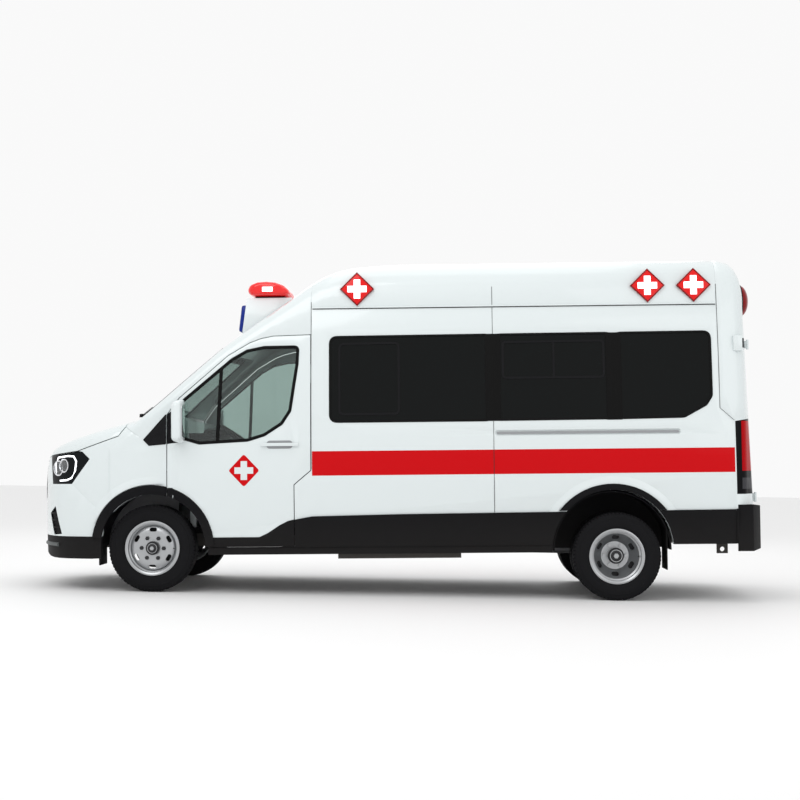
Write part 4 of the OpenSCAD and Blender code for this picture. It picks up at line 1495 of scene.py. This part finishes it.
@dataclass
class RoofLamps:
    """Light bar, diamond lamps, rear beacons and pod lamps.

    section is the light bar's outline behind the front axle and above the ground. ends gives the share of
    that outline's size at places across the bar.
    """

    half: float = 0.095
    rim: float = 0.004
    diamonds: tuple[float, ...] = (FA + 1.674, RA + 0.279, RA + 0.65)
    diamond_z: float = 2.49
    beacon_y: float = 0.55
    beacon_z: float = 2.39
    feet: tuple[float, ...] = (-0.42, 0.0, 0.42)
    middle: Point2 = (0.91, 2.54)
    section: tuple[Point2, ...] = (
        (0.79, 2.486),
        (0.745, 2.5),
        (0.731, 2.535),
        (0.752, 2.578),
        (0.81, 2.602),
        (0.89, 2.608),
        (0.97, 2.6),
        (1.04, 2.572),
        (1.082, 2.53),
        (1.086, 2.5),
        (1.05, 2.486),
    )
    ends: tuple[Point2, ...] = (
        (-0.601, 0.55),
        (-0.597, 0.72),
        (-0.585, 0.86),
        (-0.562, 0.95),
        (-0.53, 1.0),
        (0.53, 1.0),
        (0.562, 0.95),
        (0.585, 0.86),
        (0.597, 0.72),
        (0.601, 0.55),
    )

    def build(self) -> None:
        """Builds the lamps on and above the roof."""
        smooth_copy("cross_lamps", RED_LENS, 0.004)
        self._bar()
        lift = side_y(self.diamond_z) + 0.008
        for side in Side:
            s = side.value
            for i, x in enumerate(self.diamonds):
                place = (
                    Matrix.Translation((x, s * lift, self.diamond_z))
                    @ Matrix.Rotation(math.radians(4.7) * s, 4, "X")
                    @ Matrix.Rotation(math.radians(-90) * s, 4, "X")
                )
                self._diamond(f"{side.word}_{i}", place)
            self._beacon(side)
            self._pod(side)

    def _diamond(self, name: str, place: Matrix) -> None:
        """Builds the rim and the lit plus of a diamond lamp.

        Args:
            name: end of the pieces' names.
            place: frame with Z out of the lamp's face.
        """
        rim = Maker()
        turned = place @ Matrix.Rotation(math.radians(45), 4, "Z")
        a, b = self.half - 0.006, self.half + self.rim
        low, high = -0.01, 0.017
        rim.box((-b, a, low), (b, b, high), turned)
        rim.box((-b, -b, low), (b, -a, high), turned)
        rim.box((a, -a, low), (b, a, high), turned)
        rim.box((-b, -a, low), (-a, a, high), turned)
        rim.piece("diamond_rim_" + name, "body", DEEP_RED, "black_plastic", 0.0015)
        plus = Maker()
        long, wide = 0.078, 0.026
        plus.box((-long, -wide, 0.01), (long, wide, 0.0165), place)
        plus.box((-wide, -long, 0.01), (wide, long, 0.0168), place)
        plus.piece("diamond_plus_" + name, "body", DAYLIGHT, "lamp_clear", 0.002)

    def _beacon(self, side: Side) -> None:
        """Builds the round lamp over a rear door.

        Args:
            side: which door.
        """
        place = (
            Matrix.Translation((RA + 1.05, side.value * self.beacon_y, self.beacon_z))
            @ Matrix.Rotation(math.radians(-2), 4, "Y")
            @ Matrix.Rotation(math.radians(90), 4, "Y")
        )
        foot = Maker()
        dish = ((0.0, -0.012), (0.145, -0.012), (0.145, 0.02), (0.136, 0.034), (0.0, 0.034))
        foot.lathe(dish, place, 48)
        foot.piece("beacon_foot_" + side.word, "body", WHITE, "body_paint")
        rim = Maker()
        rim.lathe([(0.118, 0.03), (0.137, 0.03), (0.135, 0.042), (0.118, 0.044)], place, 48)
        rim.piece("beacon_rim_" + side.word, "body", GLOSS_BLACK, "black_plastic")
        lens = Maker()
        lens.dome(place @ Matrix.Translation((0, 0, 0.038)), 0.128, 0.066, 40)
        lens.piece("beacon_lens_" + side.word, "body", DEEP_RED, "lamp_red")

    def _bar(self) -> None:
        """Builds the light bar's lens, its feet and the lamps in it."""
        shape = rounded(self.section, 0.05, 4)
        x, z = self.middle
        lens = Maker()
        loops = []
        for y, share in self.ends:
            loops.append([Vector((FA + x + (u - x) * share, y, z + (v - z) * share)) for u, v in shape])
        lens.sweep(loops, False)
        piece = lens.piece("light_bar_lens", "body", BAR_LENS, "lamp_red", 0.0, 50)
        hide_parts("light_bar")
        feet = Maker()
        for y in self.feet:
            feet.box((FA + 0.79, y - 0.07, 2.455), (FA + 1.04, y + 0.07, 2.492))
        feet.piece("light_bar_feet", "body", BLACK, "black_plastic", 0.006)
        lamps = Maker()
        for side in Side:
            low, high = sorted((side.value * 0.585, side.value * 0.6022))
            lamps.box((FA + 0.86, low, 2.515), (FA + 0.95, high, 2.556))
        lamps.piece("light_bar_lamps", "body", DAYLIGHT, "lamp_clear", 0.004)

    def _pod(self, side: Side) -> None:
        """Builds the blue lamps on the pod's front corners.

        Args:
            side: which corner.
        """
        s = side.value
        lamp = Maker()
        y0, y1 = sorted((s * 0.38, s * 0.54))
        turn = Matrix.Translation((FA + 0.708, 0, 2.3)) @ Matrix.Rotation(math.radians(7), 4, "Y")
        lamp.box((-0.042, y0, -0.12), (0.03, y1, 0.11), turn)
        lamp.piece("pod_lamp_" + side.word, "body", BLUE, "", 0.02)


@dataclass
class Wheels:
    """Tyres with tread, and dressed rims."""

    radius: float = 0.352
    front_y: float = 0.865
    rear_y: float = 0.905
    twin: float = 0.225
    lugs: int = 72
    nuts: int = 6
    grooves: tuple[float, ...] = (0.054, 0.018, -0.018, -0.054)
    wall: tuple[Point2, ...] = (
        (0.2045, 0.058),
        (0.2045, 0.069),
        (0.223, 0.0695),
        (0.229, 0.082),
        (0.236, 0.0875),
        (0.24, 0.0885),
        (0.2415, 0.091),
        (0.246, 0.0925),
        (0.256, 0.0945),
        (0.27, 0.0965),
        (0.285, 0.0972),
        (0.3, 0.0958),
        (0.302, 0.0972),
        (0.306, 0.0968),
        (0.308, 0.0945),
        (0.32, 0.0915),
        (0.331, 0.0875),
        (0.339, 0.0825),
        (0.345, 0.0765),
        (0.3485, 0.069),
    )
    inside: tuple[Point2, ...] = (
        (0.24, -0.066),
        (0.3, -0.08),
        (0.332, -0.066),
        (0.338, 0.0),
        (0.332, 0.066),
        (0.3, 0.08),
        (0.24, 0.066),
        (0.2045, 0.058),
    )

    def build(self) -> None:
        """Builds all wheels."""
        for side in Side:
            s = side.value
            for end, x, y, rows in (
                ("front", FA, self.front_y, (0.0,)),
                ("rear", RA, self.rear_y, (0.0, -self.twin)),
            ):
                turn = Matrix.Rotation(math.radians(-90 * s), 4, "X")
                place = Matrix.Translation((x, s * y, self.radius)) @ turn
                name = f"{end}_{side.word}"
                body = f"{end}_wheel_{side.word}"
                rear = end == "rear"
                smooth_copy("rim_" + name, SILVER, 0.0, 32)
                self._tyre(name, body, place, rows)
                self._hub(name, body, place, rear)
                self._brake(name, body if rear else "knuckle_" + side.word, place, rear)

    def _tyre(self, name: str, body: str, place: Matrix, rows: Sequence[float]) -> None:
        """Builds the tyre or twin tyres of one wheel.

        Args:
            name: end of the piece's name.
            body: the wheel's body.
            place: the wheel's frame, Z outwards.
            rows: offsets of the tyres along Z.
        """
        crown, floor = 0.3515, 0.344
        tread: list[Point2] = []
        for z in self.grooves:
            tread.extend(((crown, z + 0.005), (floor, z + 0.0035), (floor, z - 0.0035), (crown, z - 0.005)))
        profile = [*self.wall, *tread, *((r, -h) for r, h in reversed(self.wall)), *self.inside]
        tyre = Maker(raked=False)
        for z in rows:
            where = place @ Matrix.Translation((0, 0, z))
            tyre.lathe(profile, where, 96)
            for k in range(self.lugs):
                for sign in (-1, 1):
                    turn = Matrix.Rotation(math.tau * (k + 0.25 * sign) / self.lugs, 4, "Z")
                    tilt = Matrix.Rotation(math.radians(18 * sign), 4, "X")
                    lug = where @ turn @ Matrix.Translation((0.3435, 0, sign * 0.073)) @ tilt
                    tyre.box((-0.008, -0.0095, -0.012), (0.0062, 0.0095, 0.012), lug)
        piece = tyre.piece("tyre_" + name + "_tread", body, RUBBER, "tyre", 0.0, 34)
        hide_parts("tyre_" + name)

    def _brake(self, name: str, body: str, place: Matrix, deep: bool) -> None:
        """Builds the dark disc seen through the holes of one wheel.

        Args:
            name: end of the piece's name.
            body: the body that carries it.
            place: the wheel's frame, Z outwards.
            deep: True for the twin rear wheel.
        """
        disc = Maker(raked=False)
        inner, outer, z = (0.119, 0.177, -0.5 * self.twin) if deep else (0.058, 0.16, -0.036)
        low, high = z - 0.004, z + 0.004
        disc.lathe([(inner, low), (outer, low), (outer, high), (inner, high), (inner, low)], place, 48)
        disc.piece("brake_disc_" + name, body, IRON, "chassis_steel")

    def _hub(self, name: str, body: str, place: Matrix, deep: bool) -> None:
        """Builds the hub cap, the nuts of a front wheel, and the valve of one wheel.

        Args:
            name: end of the pieces' names.
            body: the wheel's body.
            place: the wheel's frame, Z outwards.
            deep: True for the dished rear wheel.
        """
        cap = Maker(raked=False)
        z, r, drop = (0.0075, 0.052, 0.02) if deep else (0.086, 0.042, 0.015)
        foot, base, rim = z - drop, z - drop - 0.015, r + 0.013
        crown = ((0.0, z + 0.007), (r * 0.7, z + 0.005), (r, z - 0.004))
        cap.lathe([*crown, (r, foot), (rim, foot), (rim, base), (0.0, base)], place, 32)
        if not deep:
            nut = ((0.0, 0.0245), (0.0145, 0.0245), (0.0168, 0.021), (0.0168, 0.0), (0.0, 0.0))
            for k in range(self.nuts):
                turn = Matrix.Rotation(math.tau * k / self.nuts, 4, "Z")
                cap.lathe(nut, place @ turn @ Matrix.Translation((0.09, 0, 0.05)), 6)
        cap.piece("hub_cap_" + name, body, IRON, "wheel_steel")
        boss = Maker(raked=False)
        boss.lathe([(0.0, z + 0.016), (r * 0.4, z + 0.014), (r * 0.45, z), (0.0, z)], place, 6)
        boss.piece("hub_boss_" + name, body, SILVER, "wheel_steel")
        valve = Maker(raked=False)
        start = Vector((0.176, 0.0, 0.02))
        valve.tube([place @ start, place @ (start + Vector((-0.006, 0, 0.035)))], 0.004, 8)
        valve.piece("valve_" + name, body, SEAL, "")


@dataclass
class Cab:
    """Seats and fittings seen through the glass."""

    floor_z: float = 0.55
    seats: tuple[tuple[float, float, float], ...] = (
        (FA + 0.82, -0.43, 0.48),
        (FA + 0.82, 0.4, 0.7),
        (FA + 1.9, 0.48, 0.48),
        (FA + 2.65, 0.48, 0.48),
    )

    def build(self) -> None:
        """Builds the seats and fittings."""
        bases = Maker()
        z = self.floor_z
        for i, (x, y, w) in enumerate(self.seats):
            half = w / 2
            bases.box((x - 0.2, y - half + 0.05, z), (x + 0.2, y + half - 0.05, z + 0.26))
            for part, dx, dz, size, tilt in (
                ("cushion", 0.0, 0.325, (0.27, half, 0.085), 0.0),
                ("back", 0.325, 0.69, (0.075, half, 0.345), 14.0),
                ("head", 0.415, 1.11, (0.05, 0.13, 0.09), 10.0),
            ):
                self._cushion(f"seat_{part}_{i}", (x + dx, y, z + dz), size, tilt)
        self._cushion("bench_pad", (FA + 2.5, -0.69, z + 0.39), (0.6, 0.21, 0.045), 0.0)
        bases.box((FA + 1.9, -0.9, z), (FA + 3.1, -0.48, z + 0.35))
        piece = bases.piece("seat_bases", "body", DASH, "black_plastic", 0.01)
        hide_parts("seats")
        self._dash()

    def _cushion(
        self, name: str, centre: Sequence[float], half: Sequence[float], tilt: float
    ) -> bpy.types.Object:
        """Builds a crowned cushion.

        Args:
            name: its name.
            centre: its middle in body coordinates.
            half: its half sizes.
            tilt: lean about Y in degrees.

        Returns:
            The cushion.
        """
        pad = Maker()
        rows, columns, power = 16, 32, 0.42

        def curve(value: float) -> float:
            """Squares up a sine or a cosine."""
            return math.copysign(abs(value) ** power, value)

        place = Matrix.Translation(centre) @ Matrix.Rotation(math.radians(tilt), 4, "Y")
        turns = [math.tau * k / columns for k in range(columns)]
        loops = []
        for i in range(1, rows):
            lat = -math.pi / 2 + math.pi * i / rows
            wide, z = curve(math.cos(lat)), half[2] * curve(math.sin(lat))
            a, b = half[0] * wide, half[1] * wide
            ring = [(a * curve(math.cos(t)), b * curve(math.sin(t))) for t in turns]
            loops.append([place @ Vector((x, y, z)) for x, y in ring])
        pad.sweep(loops, False)
        return pad.piece(name, "body", FABRIC, "seat_fabric", 0.0, 60)

    def _dash(self) -> None:
        """Builds the instrument hood and screen on the dashboard."""
        hood = Maker()
        hood.box((FA + 0.36, -0.6, 1.3), (FA + 0.56, -0.26, 1.37))
        hood.piece("instrument_hood", "body", DASH, "black_plastic", 0.03)
        screen = Maker()
        screen.box((FA + 0.552, -0.12, 1.1), (FA + 0.566, 0.14, 1.25))
        screen.piece("dash_screen", "body", GLOSS_BLACK, "black_plastic", 0.006)


@dataclass
class Studio:
    """Camera, floor and soft light."""

    position: tuple[float, float, float] = (0.411, -13.2696, 1.0964)
    yaw: float = -0.0314
    pitch: float = 0.0394
    roll: float = 0.0151
    lens: float = 68.596
    lights: tuple[tuple[str, tuple[float, float, float], Point2, float], ...] = (
        ("key", (-3.5, -8.0, 7.5), (6.0, 4.0), 170),
        ("fill", (6.0, -7.0, 3.5), (5.0, 4.0), 40),
        ("back", (0.0, 7.0, 6.0), (8.0, 4.0), 90),
        ("top", (0.3, 0.0, 8.0), (8.0, 6.0), 120),
    )

    def build(self) -> None:
        """Builds the studio."""
        self._camera()
        self._floor()
        for name, place, size, power in self.lights:
            self._light(name, place, size, power)
        world = bpy.data.worlds.new("studio")
        world.use_nodes = True
        world.node_tree.nodes["Background"].inputs["Color"].default_value = (1.0, 1.0, 1.0, 1.0)
        world.node_tree.nodes["Background"].inputs["Strength"].default_value = 0.95
        bpy.context.scene.world = world
        bpy.context.scene.view_settings.view_transform = "Standard"

    def _camera(self) -> None:
        """Sets the camera in the fitted side view."""
        forward = Vector(
            (
                math.sin(self.yaw) * math.cos(self.pitch),
                math.cos(self.yaw) * math.cos(self.pitch),
                math.sin(self.pitch),
            )
        )
        right = Vector((math.cos(self.yaw), -math.sin(self.yaw), 0.0))
        up = right.cross(forward)
        across = right * math.cos(self.roll) + up * math.sin(self.roll)
        rise = -right * math.sin(self.roll) + up * math.cos(self.roll)
        turn = Matrix((across, rise, -forward)).transposed().to_4x4()
        data = bpy.data.cameras.new("camera")
        data.sensor_width = 36.0
        data.lens = self.lens
        data.dof.use_dof = False
        camera = bpy.data.objects.new("camera", data)
        camera.matrix_world = Matrix.Translation(self.position) @ turn
        bpy.context.scene.collection.objects.link(camera)
        bpy.context.scene.camera = camera

    def _floor(self) -> None:
        """Lays the plain pale floor."""
        mesh = bpy.data.meshes.new("floor")
        bm = bmesh.new()
        bmesh.ops.create_grid(bm, x_segments=1, y_segments=1, size=40.0)
        bm.to_mesh(mesh)
        bm.free()
        floor = bpy.data.objects.new("floor", mesh)
        mesh.materials.append(FLOOR.material())
        bpy.context.scene.collection.objects.link(floor)

    def _light(self, name: str, place: Sequence[float], size: Point2, power: float) -> None:
        """Hangs a soft light that looks at the vehicle.

        Args:
            name: its name.
            place: where it hangs.
            size: its width and height.
            power: its power in watts.
        """
        data = bpy.data.lights.new(name, "AREA")
        data.shape = "RECTANGLE"
        data.size, data.size_y = size
        data.energy = power
        light = bpy.data.objects.new(name, data)
        light.location = place
        light.rotation_euler = (Vector((0, 0, 1.2)) - Vector(place)).to_track_quat("-Z", "Y").to_euler()
        bpy.context.scene.collection.objects.link(light)


def main() -> None:
    """Builds the looks round the CAD frame."""
    logging.basicConfig(level=logging.INFO)
    parts = (Panels(), Glazing(), SideTrim(), FrontEnd(), RearEnd(), RoofLamps(), Wheels(), Cab(), Studio())
    for part in parts:
        part.build()
        LOG.info("built %s", type(part).__name__)


if __name__ == "__main__":
    main()
